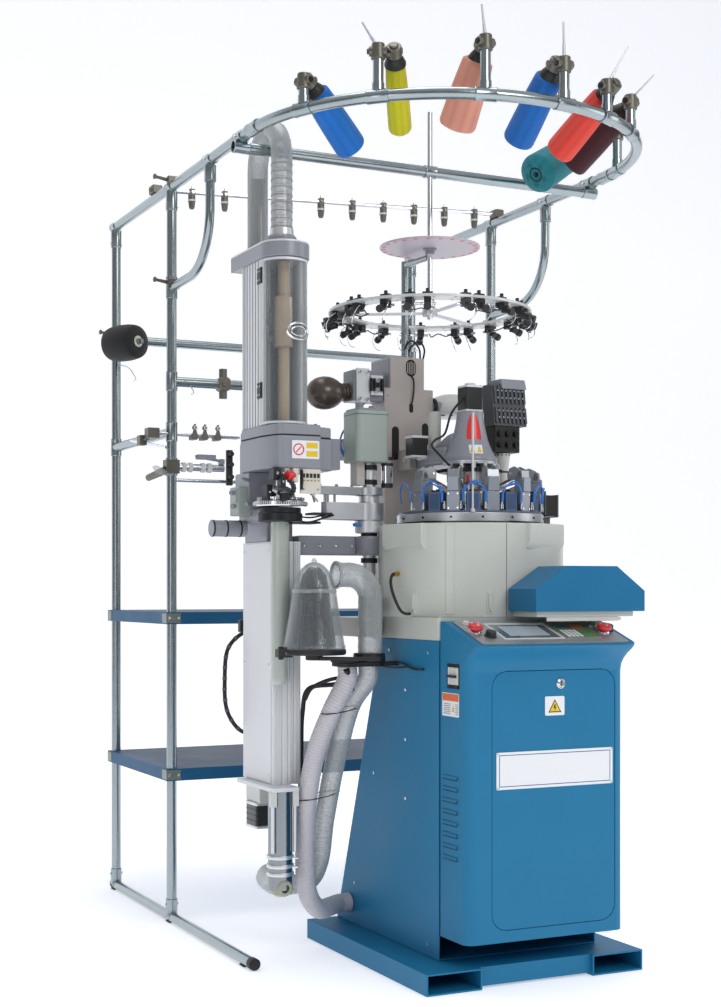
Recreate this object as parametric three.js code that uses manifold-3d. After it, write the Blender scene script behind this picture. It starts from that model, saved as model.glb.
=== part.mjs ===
// Sock knitting machine with toe-linking unit, sock tube and overhead yarn creel.
// Millimetres, +Z up, front towards -Y, origin on the floor under the needle cylinder.
import * as THREE from "three";
import { mergeVertices } from "three/addons/utils/BufferGeometryUtils.js";
import Module from "manifold-3d";

const wasm = await Module();
wasm.setup();

// ---- driving dimensions ----
const GAP = 0.3; // between parts that touch
const SHEET = 4; // cabinet wall
const TUBE = 16; // creel tube radius
const RING = { x: -61, y: 100, r: 584, z: 2325 }; // creel ring
const CREEL = { left: -645, right: 523, front: 770, rear: 1370 };
const CAB = { half: 250, floor: 57.3, top: 914 };
const DRUM = { r: 268, low: 975.3, high: 1235 };
const PLATE = { r: 212, low: 1240, high: 1266 }; // cam ring plate
const AXIS = { x: -560, y: 85 }; // linking axis: dial, sock tube
const PIVOT = { x: -269, y: 116 }; // swing arm shaft
const HUB = { x: -42, y: 168 }; // overhead rod, guide ring and disc
const LEG = { front: 105, rear: 285 }; // sock return hose
const TOWER = { x: -547, y: 88, r: 65, low: 1508.3, high: 1972 };
const SLOPE = Math.atan2(61, 179); // console
const CONSOLE = { y: -386.5, z: 935.5 };

// ---- finishes ----
const paint = (color, roughness = 0.45, metalness = 0) => ({ color, roughness, metalness });
const BLUE = paint(0x2277a8), SHELF_BLUE = paint(0x1d5e85), HOOD_BLUE = paint(0x1e75a6);
const BEIGE = paint(0xb5ada8), OFF_WHITE = paint(0xc4c7be), GREY = paint(0x8a8d96);
const ALU = paint(0xc8cacc, 0.35, 1), ZINC = paint(0x9aa5a8, 0.3, 1), CHROME = paint(0xd0d3d6, 0.12, 1);
const BLACK = paint(0x20201e, 0.5), CLEAR = paint(0xdde2e2, 0.1), RED = paint(0xd8222a, 0.35);
const BRONZE = paint(0x5c5048, 0.4, 1);

// ---- solids ----
const V = (x, y, z) => new THREE.Vector3(x, y, z);
const P2 = (list) => list.map(([x, y]) => new THREE.Vector2(x, y));

/** Closed three.js geometry to a solid, turned outward. */
function solid(geometry) {
  const g = new THREE.BufferGeometry();
  g.setAttribute("position", geometry.getAttribute("position"));
  if (geometry.index) g.setIndex(geometry.index);
  const m = mergeVertices(g, 1e-3);
  const tri = new Uint32Array(m.index.array);
  const make = () => new wasm.Manifold(
    new wasm.Mesh({ numProp: 3, vertProperties: m.attributes.position.array, triVerts: tri }),
  );
  const first = make();
  if (first.volume() > 0) return first;
  for (let i = 0; i < tri.length; i += 3) [tri[i], tri[i + 1]] = [tri[i + 1], tri[i]];
  return make();
}
const join = (...list) => list.reduce((a, b) => a.add(b));
const cut = (body, ...list) => list.reduce((a, b) => a.subtract(b), body);

/** Block between two corners. */
function block(x0, x1, y0, y1, z0, z1) {
  const g = new THREE.BoxGeometry(x1 - x0, y1 - y0, z1 - z0);
  return solid(g.translate((x0 + x1) / 2, (y0 + y1) / 2, (z0 + z1) / 2));
}
/** Round bar from point a to point b, radius ra at a and rb at b. */
function bar(a, b, ra, rb = ra, sides = 16) {
  const along = b.clone().sub(a);
  const g = new THREE.CylinderGeometry(rb, ra, along.length(), sides);
  g.applyQuaternion(new THREE.Quaternion().setFromUnitVectors(V(0, 1, 0), along.clone().normalize()));
  return solid(g.translate(...a.clone().add(b).multiplyScalar(0.5).toArray()));
}
const post = (x, y, z0, z1, r, sides = 16) => bar(V(x, y, z0), V(x, y, z1), r, r, sides);

/** Profile of (radius, height) pairs turned about the vertical through x, y. */
function turned(profile, x, y, sides = 24) {
  const g = new THREE.LatheGeometry(P2(profile), sides);
  return solid(g.rotateX(Math.PI / 2).translate(x, y, 0));
}
/** Profile turned about the line from a towards b; heights run along it. */
function turnedAlong(profile, a, b, sides = 16) {
  const g = new THREE.LatheGeometry(P2(profile), sides);
  g.applyQuaternion(new THREE.Quaternion().setFromUnitVectors(V(0, 1, 0), b.clone().sub(a).normalize()));
  return solid(g.translate(a.x, a.y, a.z));
}
/** Plan outline raised from z0 to z1. */
function plan(outline, z0, z1) {
  const g = new THREE.ExtrudeGeometry(new THREE.Shape(P2(outline)), { depth: z1 - z0, bevelEnabled: false });
  return solid(g.translate(0, 0, z0));
}
/** Side outline of (y, z) pairs carried from x0 to x1. */
function side(outline, x0, x1) {
  const g = new THREE.ExtrudeGeometry(new THREE.Shape(P2(outline)), { depth: x1 - x0, bevelEnabled: false });
  return solid(g.applyMatrix4(new THREE.Matrix4().makeBasis(V(0, 1, 0), V(0, 0, 1), V(1, 0, 0))).translate(x0, 0, 0));
}
/** Front outline of (x, z) pairs carried from y0 to y1. */
function front(outline, y0, y1) {
  const g = new THREE.ExtrudeGeometry(new THREE.Shape(P2(outline)), { depth: y1 - y0, bevelEnabled: false });
  return solid(g.applyMatrix4(new THREE.Matrix4().makeBasis(V(1, 0, 0), V(0, 0, 1), V(0, -1, 0))).translate(0, y1, 0));
}
/** Corner points of a rectangle with rounded corners. */
function rounded(x0, x1, y0, y1, r, steps = 4) {
  const corners = [[x1 - r, y0 + r, -90], [x1 - r, y1 - r, 0], [x0 + r, y1 - r, 90], [x0 + r, y0 + r, 180]];
  return corners.flatMap(([cx, cy, from]) => Array.from({ length: steps + 1 }, (_, i) => {
    const t = THREE.MathUtils.degToRad(from + (90 * i) / steps);
    return [cx + r * Math.cos(t), cy + r * Math.sin(t)];
  }));
}
/** Round rod or pipe swept along a curve; bore 0 is solid. */
function swept(curve, r, steps, sides = 10, bore = 0) {
  const ring = (q) => Array.from({ length: sides }, (_, i) => {
    const t = (2 * Math.PI * i) / sides;
    return new THREE.Vector2(q * Math.cos(t), q * Math.sin(t));
  });
  const shape = new THREE.Shape(ring(r));
  if (bore) shape.holes.push(new THREE.Path(ring(bore)));
  return solid(new THREE.ExtrudeGeometry(shape, { steps, bevelEnabled: false, extrudePath: curve }));
}
const through = (points) => new THREE.CatmullRomCurve3(points.map((p) => V(...p)), false, "centripetal");

/** Stack of equal-count plan outlines joined into one closed skin. */
function stacked(layers) {
  const n = layers[0].outline.length;
  const points = layers.flatMap(({ outline, z }) => outline.map(([x, y]) => [x, y, z])).flat();
  const tri = [];
  for (let k = 0; k + 1 < layers.length; k++)
    for (let i = 0; i < n; i++) {
      const a = k * n + i, b = k * n + ((i + 1) % n);
      tri.push(a, b, b + n, a, b + n, a + n);
    }
  const last = (layers.length - 1) * n;
  for (const [a, b, c] of THREE.ShapeUtils.triangulateShape(P2(layers[0].outline), []))
    tri.push(c, b, a);
  for (const [a, b, c] of THREE.ShapeUtils.triangulateShape(P2(layers[layers.length - 1].outline), []))
    tri.push(a + last, b + last, c + last);
  const g = new THREE.BufferGeometry();
  g.setAttribute("position", new THREE.BufferAttribute(new Float32Array(points), 3));
  return solid(g.setIndex(tri));
}

// ---- the group ----
const machine = new THREE.Group();
machine.name = "sock_knitting_machine";
function node(name, body, finish) {
  const m = body.getMesh();
  const g = new THREE.BufferGeometry();
  g.setAttribute("position", new THREE.BufferAttribute(new Float32Array(m.vertProperties), 3));
  g.setIndex(new THREE.BufferAttribute(new Uint32Array(m.triVerts), 1));
  g.computeVertexNormals();
  const mesh = new THREE.Mesh(g, new THREE.MeshStandardMaterial(finish));
  mesh.name = name;
  machine.add(mesh);
}

// ---- base and cabinet ----
const runner = (x0, x1) => cut(
  block(x0, x1, -389, 377, 0, 57),
  block(x0 + 5, x1 - 5, -400, 390, 5, 52),
);
node("base_frame", join(
  runner(-350, -184), runner(162, 326),
  block(-186, 164, -374, -368, 6, 56), block(-186, 164, -374, 370, 51, 57),
  block(-186, 164, -35, 35, 0, 54), block(-186, 164, 364, 370, 6, 56),
), BLUE);

const flank = (d) => [
  [-270, CAB.floor + d], [378 - 1.2 * d, CAB.floor + d], [344 - 1.1 * d, 157], [82 - 1.1 * d, CAB.top - 8],
  [82 - 1.1 * d, CAB.top - d], [-270, CAB.top - d],
];
const hollow = flank(SHEET);
hollow[0][0] = hollow[5][0] = -290;
node("cabinet_shell", cut(
  side(flank(0), -CAB.half, CAB.half),
  side(hollow, -CAB.half + SHEET, CAB.half - SHEET),
), BLUE);

/** Fairing outline at one height: straight back, rounded front corners. */
function fairing(half, back, nose, r) {
  const left = Array.from({ length: 6 }, (_, i) => {
    const t = Math.PI + (Math.PI / 2) * (i / 5);
    return [-half + r + r * Math.cos(t), nose + r + r * Math.sin(t)];
  });
  const right = left.map(([x, y]) => [-x, y]).reverse();
  return [[half, back], [-half, back], ...left, ...right];
}
const NOSE = [[125, -415], [832, -415], [850, -420], [866, -432], [880, -449], [891, -467], [900, -478], [905, -481]];
const rise = Math.tan(SLOPE);
/** Everything above the console slope, lowered by d. */
const above = (d) => side([
  [-620, 966 - d - (620 - 297) * rise], [-297, 966 - d], [-150, 966 - d], [-150, 1200], [-620, 1200],
], -300, 300);
const skin = (half, back, inset, low, r) => stacked([
  ...NOSE.map(([z, nose], i) => ({ z: i ? z : low, outline: fairing(half, back, nose + inset, r) })),
  { z: 1000, outline: fairing(half, back, -483 + inset, r) },
]);
/** Places a solid given in console axes: x across, y up the slope, z off the panel. */
function onConsole(body) {
  const c = Math.cos(SLOPE), s = Math.sin(SLOPE);
  return body.transform([1, 0, 0, 0, 0, c, s, 0, 0, -s, c, 0, 0, CONSOLE.y, CONSOLE.z, 1]);
}
const controls = {
  estop_left: { x: -206, y: 2, kind: "stop", finish: RED },
  estop_right: { x: 190, y: -10, kind: "stop", finish: RED },
  reset_button: { x: -198, y: 66, kind: "push", finish: OFF_WHITE },
  start_button: { x: 190, y: 46, kind: "push", finish: paint(0x2f9a4a, 0.4) },
};
const holes = Object.values(controls).map(({ x, y, kind }) =>
  onConsole(post(x, y, -30, 20, kind === "stop" ? 12.5 : 10, 16)));
const screenHole = onConsole(block(-141, 37, -50, 61, -30, 20));
const DOOR = { x0: -170, x1: 215, z0: 157, z1: 836, r: 45 };
const doorShape = (d) => rounded(DOOR.x0 - d, DOOR.x1 + d, DOOR.z0 - d, DOOR.z1 + d, DOOR.r);
node("front_fairing", cut(
  skin(247, -273.5, 0, 125, 28),
  above(0),
  cut(skin(247 - SHEET, -250, SHEET, 125 + SHEET, 26), above(SHEET)),
  front(doorShape(1.5), -440, -400),
  block(-260, -230, -378, -310, 790, 856),
  screenHole, ...holes,
), BLUE);
node("cabinet_door", cut(
  front(doorShape(0), -415, -411.4),
  bar(V(41, -430, 801), V(41, -400, 801), 10.9, 10.9, 24),
), BLUE);
node("door_lock", bar(V(41, -420, 801), V(41, -404, 801), 10, 10, 16), CHROME);

// ---- console ----
node("control_panel", cut(
  onConsole(plan(rounded(-229, 229, -84, 88, 12), GAP, 3.3).add(plan(rounded(48, 160, -52, 62, 5, 2), 2, 4.8))),
  screenHole, ...holes,
), ALU);
node("display_screen", onConsole(plan(rounded(-139.5, 35.5, -48.5, 59.5, 3, 2), -16, 1.5)), paint(0x3a4a52, 0.12));
for (const [name, { x, y, kind, finish }] of Object.entries(controls)) {
  const shape = kind === "stop"
    ? [[0, -14], [11, -14], [11, 12], [17, 13], [20, 17], [20, 23], [16, 27], [0, 28]]
    : [[0, -10], [9, -10], [9, 9], [7.5, 10.5], [0, 10.5]];
  node(name, onConsole(turned(shape, x, y, 14)), finish);
}
node("breaker_body", cut(
  block(-244, -200, -376, -312, 792, 854),
  block(-260, -229, -353, -335, 806, 840),
), paint(0xd9d9d4, 0.5));
node("breaker_lever", join(
  bar(V(-237, -351, 823), V(-237, -337, 823), 7, 7, 12),
  block(-258, -238, -350, -338, 820, 826),
), BLACK);
node("bed_plate", join(
  plan(rounded(-249, 249, -267, 170, 10, 3), CAB.top + GAP, 975),
  block(-25, 285, -402, -282, 978, 992), block(205, 250, -300, -212, 974, 992),
), OFF_WHITE);

// ---- drum cover, cam ring, needle cylinder ----
/** Raised flat on the drum rim, facing the given direction. */
function boss(angle) {
  const b = side([[0, 1163], [262, 1163], [273, 1178], [273, DRUM.high], [0, DRUM.high]], -82, 82);
  return b.rotate([0, 0, angle - 90]);
}
node("drum_cover", cut(
  join(post(0, 0, DRUM.low, DRUM.high, DRUM.r, 40), boss(196), boss(293), boss(20)),
  post(0, 0, 1170, 1300, 64, 24), post(PIVOT.x, PIVOT.y, 1140, 1300, 56, 16),
), OFF_WHITE);
node("ring_plate", cut(
  join(post(0, 0, PLATE.low, PLATE.high, PLATE.r, 40), post(0, 0, 1235.3, PLATE.low + 1, 180, 24)),
  post(0, 0, 1200, 1300, 62, 24),
), ALU);
node("needle_cylinder", turned([
  [0, 1180], [50, 1180], [50, 1290], [54, 1294], [54, 1318], [50, 1328], [40, 1328], [40, 1310], [0, 1310],
], 0, 0, 24), paint(0xb8bbbd, 0.25, 1));

/** One yarn feeder: selector box, tower and forked head, at an angle round the cylinder. */
function feeder(angle) {
  const arm = join(
    block(160, 204, -24, 24, 1268, 1332), block(172, 200, -17, 17, 1330, 1366),
    block(150, 198, -17, -9, 1360, 1392), block(150, 198, 9, 17, 1360, 1392),
  );
  return arm.rotate([0, 0, angle]);
}
const FEEDERS = [195, 227, 259, 291, 323], BOXES = FEEDERS.map((a) => a + 16);
node("feeder_ring", join(
  cut(post(0, 0, PLATE.high + GAP, 1272, 207, 32), post(0, 0, 1200, 1300, 150, 24)),
  ...FEEDERS.map(feeder), ...BOXES.map((a) => block(164, 204, -20, 20, 1270, 1324).rotate([0, 0, a])),
), paint(0x8c94a0, 0.4, 0.6));
node("selector_motors", join(
  block(225, 262, 32, 92, 1235.6, 1276), block(228, 272, 18, 98, 1274, 1345), block(270, 320, 24, 92, 1268, 1335),
), BLACK);
const hoodOuter = [[-39, 992.3], [311, 992.3], [311, 1048], [220, 1115], [57, 1115], [-39, 1053]];
const hoodInner = [[-36, 990], [308, 990], [308, 1046.4], [219, 1112], [58, 1112], [-36, 1051.3]];
node("belt_hood", cut(
  front(hoodOuter, -420, -280),
  front(hoodInner, -417, -283),
).add(block(-37, 309, -418, -403, 992.3, 996)), HOOD_BLUE);

// ---- dial head on its lifting arm ----
const HINGE = { y: 232, z: 1442 };
node("dial_head", join(
  turned([
    [0, 1414], [76, 1414], [78, 1418], [78, 1430], [72, 1438], [63, 1456], [53, 1482], [46, 1510], [40, 1540],
    [38, 1565], [0, 1565],
  ], 0, 0, 20),
  block(-68, 50, 0, 230, 1415, 1466), bar(V(-68, HINGE.y, HINGE.z), V(50, HINGE.y, HINGE.z), 26, 26, 20),
  post(-34, 150, 1460, 1580, 17, 16),
  block(-122, -69, 126, 176, 1440, 1504), block(-80, -60, 130, 172, 1440, 1462),
), GREY);
node("dial_motor", join(
  plan(rounded(-28, 28, -28, 28, 5, 2), 1565.3, 1640), post(0, 0, 1638, 1650, 17, 16),
), BLACK);
node("dial_plate", turned([
  [0, 1336], [46, 1336], [48, 1340], [48, 1352], [64, 1358], [66, 1366], [66, 1392], [40, 1400], [40, 1413.6], [0, 1413.6],
], 0, 0, 24), paint(0x9ea1a4, 0.3, 1));

node("rear_column", join(
  block(-138, 28, 278, 366, 900, 1662), block(-118, -3, 278, 410, 1655, 1757),
  block(-315, 130, 172, 366, 916, 970), block(-315, -257, 60, 200, 916, 970),
  block(-92, -71, 200, 280, 1412, 1472), block(53, 74, 200, 280, 1412, 1472),
  block(20, 74, 278, 310, 1412, 1472),
  post(-52, 310, 1750, 2052, 11, 10), bar(V(-52, 310, 2044), V(HUB.x, HUB.y + 9, 2044), 8, 8, 8),
), BEIGE);
node("valve_manifold", join(
  side([[30, 1535], [90, 1535], [108, 1660], [48, 1660]], 100, 212),
  block(104, 190, 40, 96, 1455, 1536),
  bar(V(147, 66, 1456), V(147, 66, 1345), 24, 12, 14),
  bar(V(150, 70, 1610), V(150, 290, 1610), 20, 20, 14), bar(V(150, 290, 1610), V(28.5, 290, 1610), 22, 22, 14),
), paint(0x4a4d50, 0.5));
node("suction_blower", join(
  block(-240, -138.4, 282, 356, 1618, 1712),
  turnedAlong([[0, -56], [26, -50], [44, -30], [50, 0], [44, 30], [30, 48], [24, 80], [0, 80]],
    V(-318, 318, 1640), V(-200, 318, 1650), 16),
), BRONZE);

// ---- swing arm, its shaft and lifting cylinder ----
node("lift_cover", join(
  plan(rounded(-332, -226, 64, 168, 16, 3), 1416, 1565),
  block(-318, -292, 96, 140, 1350, 1418),
  block(-278, -240, 160, 318, 1440, 1500), block(-278, -138.4, 290, 318, 1440, 1500),
), paint(0x9aa59c, 0.4));
/** Flat arm from the shaft hub towards the linking axis. */
function arm(z0, z1, hub, reach, w0, w1) {
  const body = plan([[0, -w0], [reach, -w1], [reach + w1 * 0.7, 0], [reach, w1], [0, w0]], z0, z1)
    .add(post(0, 0, z0, z1, hub, 28));
  return body.rotate([0, 0, 186]).translate([PIVOT.x, PIVOT.y, 0]);
}
node("swing_arm", cut(
  join(arm(1250, 1300, 46, 150, 34, 15), arm(1322, 1345, 42, 190, 18, 13),
    post(PIVOT.x, PIVOT.y, 1290, 1330, 30, 24), post(PIVOT.x, PIVOT.y, 1214, 1252, 40, 28)),
  post(PIVOT.x, PIVOT.y, 1180, 1400, 20.5, 24),
), ALU);
node("link_bracket", join(
  block(-485.7, -290, 128, 188, 1150, 1205), post(PIVOT.x, PIVOT.y, 1150, 1205, 38, 24),
  block(-300, -262, 100, 180, 1150, 1205), post(PIVOT.x, PIVOT.y, 970.3, 1415.6, 19, 24),
), GREY);

// ---- linking column, dial, head and tower ----
node("link_column", join(
  cut(
    block(-570, -486, 113, 343, 502, 1187),
    ...[-546, -528, -510].map((x) => block(x - 4, x + 4, 105, 119, 495, 1195)),
  ),
  post(AXIS.x, AXIS.y + 3, 783, 1239.4, 25.6, 20),
), ALU);
node("link_body", join(
  post(AXIS.x, AXIS.y, 1240, 1279, 62, 28), block(-600, -500, 130, 300, 1240, 1279),
  block(-570, -490, 160, 330, 1187.3, 1245), block(-612, -520, 190, 300, 1270, 1384.7),
  block(-640, -600, 200, 270, 1262, 1344), bar(V(-600, 250, 1226), V(-705, 250, 1226), 24, 24, 16),
), GREY);
node("link_dial", turned([
  [0, 1282], [74, 1282], [76, 1285], [76, 1295], [70, 1298], [46, 1300], [44, 1312], [30, 1336], [13, 1340],
  [13, 1384.4], [0, 1384.4],
], AXIS.x, AXIS.y, 28), CHROME);
node("link_head", plan([
  [-618, 240], [-618, 110], [-606, 36], [-584, 4], [-472, 2], [-466, 40], [-408, 70], [-404, 190], [-440, 250],
  [-505, 252], [-505, 322], [-590, 322], [-590, 252], [-606, 252],
], 1385, 1508), GREY);
const shell = (r, inner, z0, z1) => {
  const arc = (q) => Array.from({ length: 17 }, (_, i) => {
    const t = Math.PI + (Math.PI * i) / 16;
    return [TOWER.x + q * Math.cos(t), TOWER.y + q * Math.sin(t)];
  });
  return plan([...arc(r), ...arc(inner).reverse()], z0, z1);
};
node("link_tower", cut(
  block(-612, -482, 90, 243, TOWER.low, TOWER.high),
  block(-600, -494, 80, 232, TOWER.low - 10, TOWER.high + 10),
), ALU);
node("link_cover", shell(TOWER.r, TOWER.r - 3, TOWER.low + 2, TOWER.high - 2), CLEAR);
node("link_cap", cut(
  join(plan([
    [-618, 320], [-618, 80], [-602, 40], [-570, 18], [-524, 18], [-492, 40], [-476, 80], [-476, 320],
  ], TOWER.high + GAP, 2018), post(-547, LEG.front, 2016, 2043, 42, 16)),
  post(-547, LEG.rear, 1960, 2100, 31.6, 16), post(-547, LEG.front, 1998, 2100, 31.6, 16),
), GREY);
node("link_carriage", join(
  block(-590, -504, 120, 228, 1760, 1850), post(TOWER.x, 95, 1730, 1870, 26, 18),
), paint(0xb7a48f, 0.45, 0.6));
const bend = new THREE.CurvePath();
bend.add(new THREE.LineCurve3(V(-547, LEG.front, 1998.6), V(-547, LEG.front, 2262)));
bend.add(new THREE.CubicBezierCurve3(
  V(-547, LEG.front, 2262), V(-547, LEG.front, 2392), V(-547, LEG.rear, 2392), V(-547, LEG.rear, 2262),
));
bend.add(new THREE.LineCurve3(V(-547, LEG.rear, 2262), V(-547, LEG.rear, 1508.6)));
node("sock_return_hose", swept(bend, 31, 30, 10), paint(0xc9c8c6, 0.4));

// ---- sock tube, its outlet and the filter cup ----
node("outlet_tube", join(
  plan(rounded(-600, -516, 45, 322, 8, 2), 490, 501.7), block(-570, -500, 215, 320, 437, 495),
  plan(rounded(-577, -493, 226, 310, 6, 2), 363, 438), post(AXIS.x, AXIS.y, 215, 492, 34.5, 24),
  post(AXIS.x, AXIS.y, 300, 312, 38, 24), post(AXIS.x, AXIS.y, 276, 288, 38, 24),
  bar(V(AXIS.x, AXIS.y, 245), V(AXIS.x, 131, 245), 29, 29, 16),
), CHROME);
const CUP = { x: -503, y: -20 };
node("filter_cup", turned([
  [0, 1127], [26, 1118], [48, 1092], [59, 1056], [70, 980], [84, 900], [84, 888], [80, 888], [80, 900],
  [66, 980], [55, 1056], [44, 1090], [0, 1123],
], CUP.x, CUP.y, 20), CLEAR);
node("cup_base", join(
  post(CUP.x, CUP.y, 872, 887.6, 88, 28), block(-528, -488, 30, 112.7, 872, 887.6),
), BLACK);
node("cup_lever", join(
  post(CUP.x, CUP.y, 857, 871.7, 24, 18), plan([
    [-503, -34], [-400, -110], [-352, -128], [-346, -112], [-392, -92], [-495, -6],
  ], 857, 867),
), BLACK);
const elbow = new THREE.CurvePath();
elbow.add(new THREE.LineCurve3(V(-440, -20, 1092), V(-398, -20, 1092)));
elbow.add(new THREE.CubicBezierCurve3(V(-398, -20, 1092), V(-361, -20, 1092), V(-331, -20, 1062), V(-331, -20, 1024)));
elbow.add(new THREE.LineCurve3(V(-331, -20, 1024), V(-333, -20, 852)));
node("clear_elbow", swept(elbow, 34, 12, 12, 30), CLEAR);
node("hose_plate", join(
  plan(rounded(-440, -300, -64, 22, 20, 3), 838, 850), block(-320, -250.3, -40, 0, 838, 850),
), BLACK);

// ---- hoses and cable ----
const WHITE_HOSE = [
  [-405, -25, 836.5], [-405, -25, 806], [-440, 0, 715], [-468, 44, 600], [-482, 70, 476], [-474, 112, 310],
  [-444, 156, 180], [-392, 200, 124], [-334, 250, 116], [-288, 282, 116], [-253.5, 284, 116],
];
node("white_hose", swept(through(WHITE_HOSE), 28, 26, 8), paint(0xb5b0b5, 0.5));
const CLEAR_HOSE = [
  [-338, -20, 836.5], [-339, -20, 806], [-369, 22, 735], [-398, 61, 581], [-408, 120, 400], [-405, 172, 262],
  [-414, 222, 205], [-455, 252, 190], [-508, 240, 195], [-550, 212, 222], [-560, 172, 243], [-560, 134, 245],
];
node("clear_hose", swept(through(CLEAR_HOSE), 29, 30, 8), CLEAR);
const CABLE = [
  [-530, 350, 930], [-560, 372, 922], [-600, 384, 880], [-612, 384, 790], [-604, 382, 690], [-566, 372, 634], [-530, 350, 625],
];
node("column_cable", swept(through(CABLE), 6, 30, 6), BLACK);

// ---- creel ----
const C = CREEL;
const ringArc = new THREE.CatmullRomCurve3(Array.from({ length: 19 }, (_, i) => {
  const t = Math.PI * (1 + i / 18);
  return V(RING.x + RING.r * Math.cos(t), RING.y + RING.r * Math.sin(t), RING.z);
}));
/** Rising brace from a front post forward and up to the ring rail. */
function brace(x) {
  const c = new THREE.CurvePath();
  c.add(new THREE.LineCurve3(V(x, C.front, 2006), V(x, 600, 2010)));
  c.add(new THREE.CubicBezierCurve3(V(x, 600, 2010), V(x, 500, 2012), V(x, 424, 2080), V(x, 420, 2180)));
  c.add(new THREE.LineCurve3(V(x, 420, 2180), V(x, 418, RING.z)));
  return swept(c, 14, 8, 6);
}
const rail = (a, b, r = TUBE) => bar(V(...a), V(...b), r, r, r < 14 ? 6 : 8);
/** Yarn holder: clamp on the ring, casting, peg along the cone and aerial rod. */
const HOLDERS = [
  { name: "yarn_cone_blue_a", clamp: [-590, -147], top: [-544, -119, 2382], end: [-398, -42, 2269], r: [38, 45], tip: null, color: 0x1b68c4 },
  { name: "yarn_cone_yellow", clamp: [-459, -327], top: [-399, -306, 2424], end: [-308, -158, 2300], r: [27, 33], tip: [-492, -300, 2520], color: 0xc8c400 },
  { name: "yarn_cone_salmon", clamp: [-218, -462], top: [-202, -398, 2435], end: [-204, -283, 2288], r: [42, 52], tip: [-222, -450, 2560], color: 0xd98f7b },
  { name: "yarn_cone_blue_b", clamp: [10, -480], top: [-1, -425, 2411], end: [0, -261, 2281], r: [38, 45], tip: [14, -470, 2545], color: 0x1a5fb5 },
  { name: "yarn_cone_red", clamp: [177, -434], top: [192, -399, 2392], end: [162, -216, 2282], r: [36, 43], tip: [232, -458, 2520], color: 0xe8473a },
  { name: "yarn_cone_maroon", clamp: [316, -346], top: [322, -296, 2394], end: [266, -124, 2282], r: [36, 45], tip: [364, -391, 2480], color: 0x3a0f18 },
  { name: "yarn_cone_teal", clamp: [514, -1], top: [452, 64, 2424], end: [216, -12, 2276], r: [45, 60], tip: null, color: 0x1c8289 },
];
function holder({ clamp, top, end, tip }) {
  const a = V(...top), dir = V(...end).sub(a).normalize();
  const head = a.clone().addScaledVector(dir, -30), seat = V(clamp[0], clamp[1], RING.z);
  const knee = seat.clone().setZ(head.z);
  const parts = [
    bar(seat.clone().setZ(RING.z - 26), seat.clone().setZ(RING.z + 26), 24, 24, 6),
    bar(seat, knee, 9, 9, 6), bar(knee, head, 9, 9, 6), bar(head.clone().addScaledVector(dir, -22), head.clone().addScaledVector(dir, 20), 18, 18, 6),
    bar(head, a.clone().addScaledVector(dir, 150), 6, 6, 6),
  ];
  if (tip) parts.push(bar(head, V(...tip), 4, 3, 4));
  return join(...parts);
}
/** Spool at the rear left post: its peg's seat and tip, and the two ends of the wound body. */
const SPOOL = { seat: V(-717, 1266, 1889), back: V(-702, 1239, 1889), front: V(-641, 1130, 1889), tip: V(-632, 1113.5, 1889) };
const frameTubes = [
  swept(ringArc, TUBE, 28, 8),
  rail([C.left, 92, RING.z], [C.left, C.rear + 12, RING.z]), rail([C.right, 92, RING.z], [C.right, C.rear + 12, RING.z]),
  ...[C.left, C.right].flatMap((x) => [
    rail([x, C.front, 20], [x, C.front, RING.z]), rail([x, C.rear, 20], [x, C.rear, RING.z]),
    rail([x, 80, 17], [x, C.rear + 24, 17]), rail([x, 66, 17], [x, 90, 17], 17), brace(x),
  ]),
  rail([C.left, HUB.y, RING.z - 28], [C.right, HUB.y, RING.z - 28]), rail([C.left, C.rear, 1930], [C.right, C.rear, 1930]),
  rail([C.left, C.front, 1550], [C.left, C.rear, 1550]), rail([C.left, C.front, 1710], [-380, C.front, 1710]),
  rail([C.left, C.front, 1440], [-470, C.front, 1440], 12),
  rail([HUB.x, HUB.y, 1856], [HUB.x, HUB.y, 2475], 8),
  rail([C.left, 930, 2352], [C.right, 730, 2352], 8), rail([C.left, 930, 2310], [C.left, 930, 2352], 12),
  rail([C.right, 730, 2310], [C.right, 730, 2352], 12),
  ...HOLDERS.map(holder),
  bar(V(C.left, C.rear, 1889), SPOOL.seat, 9, 9, 8), bar(SPOOL.seat, SPOOL.tip, 9, 9, 8),
];
node("creel_frame", join(...frameTubes), ZINC);

/** Flanged tray hung on the four posts. */
function tray(z) {
  const posts = [C.left, C.right].flatMap((x) => [C.front, C.rear].map((y) => post(x, y, z - 80, z + 80, 16.6, 16)));
  return cut(
    block(C.left - 23, C.right + 23, C.front - 24, C.rear + 24, z - 38, z),
    block(C.left - 20, C.right + 20, C.front - 21, C.rear + 21, z - 60, z - 3),
    ...posts,
  );
}
node("shelf_upper", tray(980), SHELF_BLUE);
node("shelf_lower", tray(486), SHELF_BLUE);

node("carousel_ring", cut(
  join(
    cut(post(HUB.x, HUB.y, 1871, 1879, 303, 40), post(HUB.x, HUB.y, 1860, 1890, 262, 32)),
    ...[30, 150, 270].map((a) => block(8, 280, -6, 6, 1871, 1879).rotate([0, 0, a]).translate([HUB.x, HUB.y, 0])),
    post(HUB.x, HUB.y, 1868, 1888, 22, 12),
  ),
  post(HUB.x, HUB.y, 1850, 1900, 9, 8),
), paint(0xc9ccc9, 0.3));
node("guide_disc", cut(
  join(post(HUB.x, HUB.y, 2068, 2074, 150, 32), post(HUB.x, HUB.y, 2062, 2084, 20, 12)),
  post(HUB.x, HUB.y, 2050, 2100, 9, 8),
), paint(0xc4b3bc, 0.4));

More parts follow.
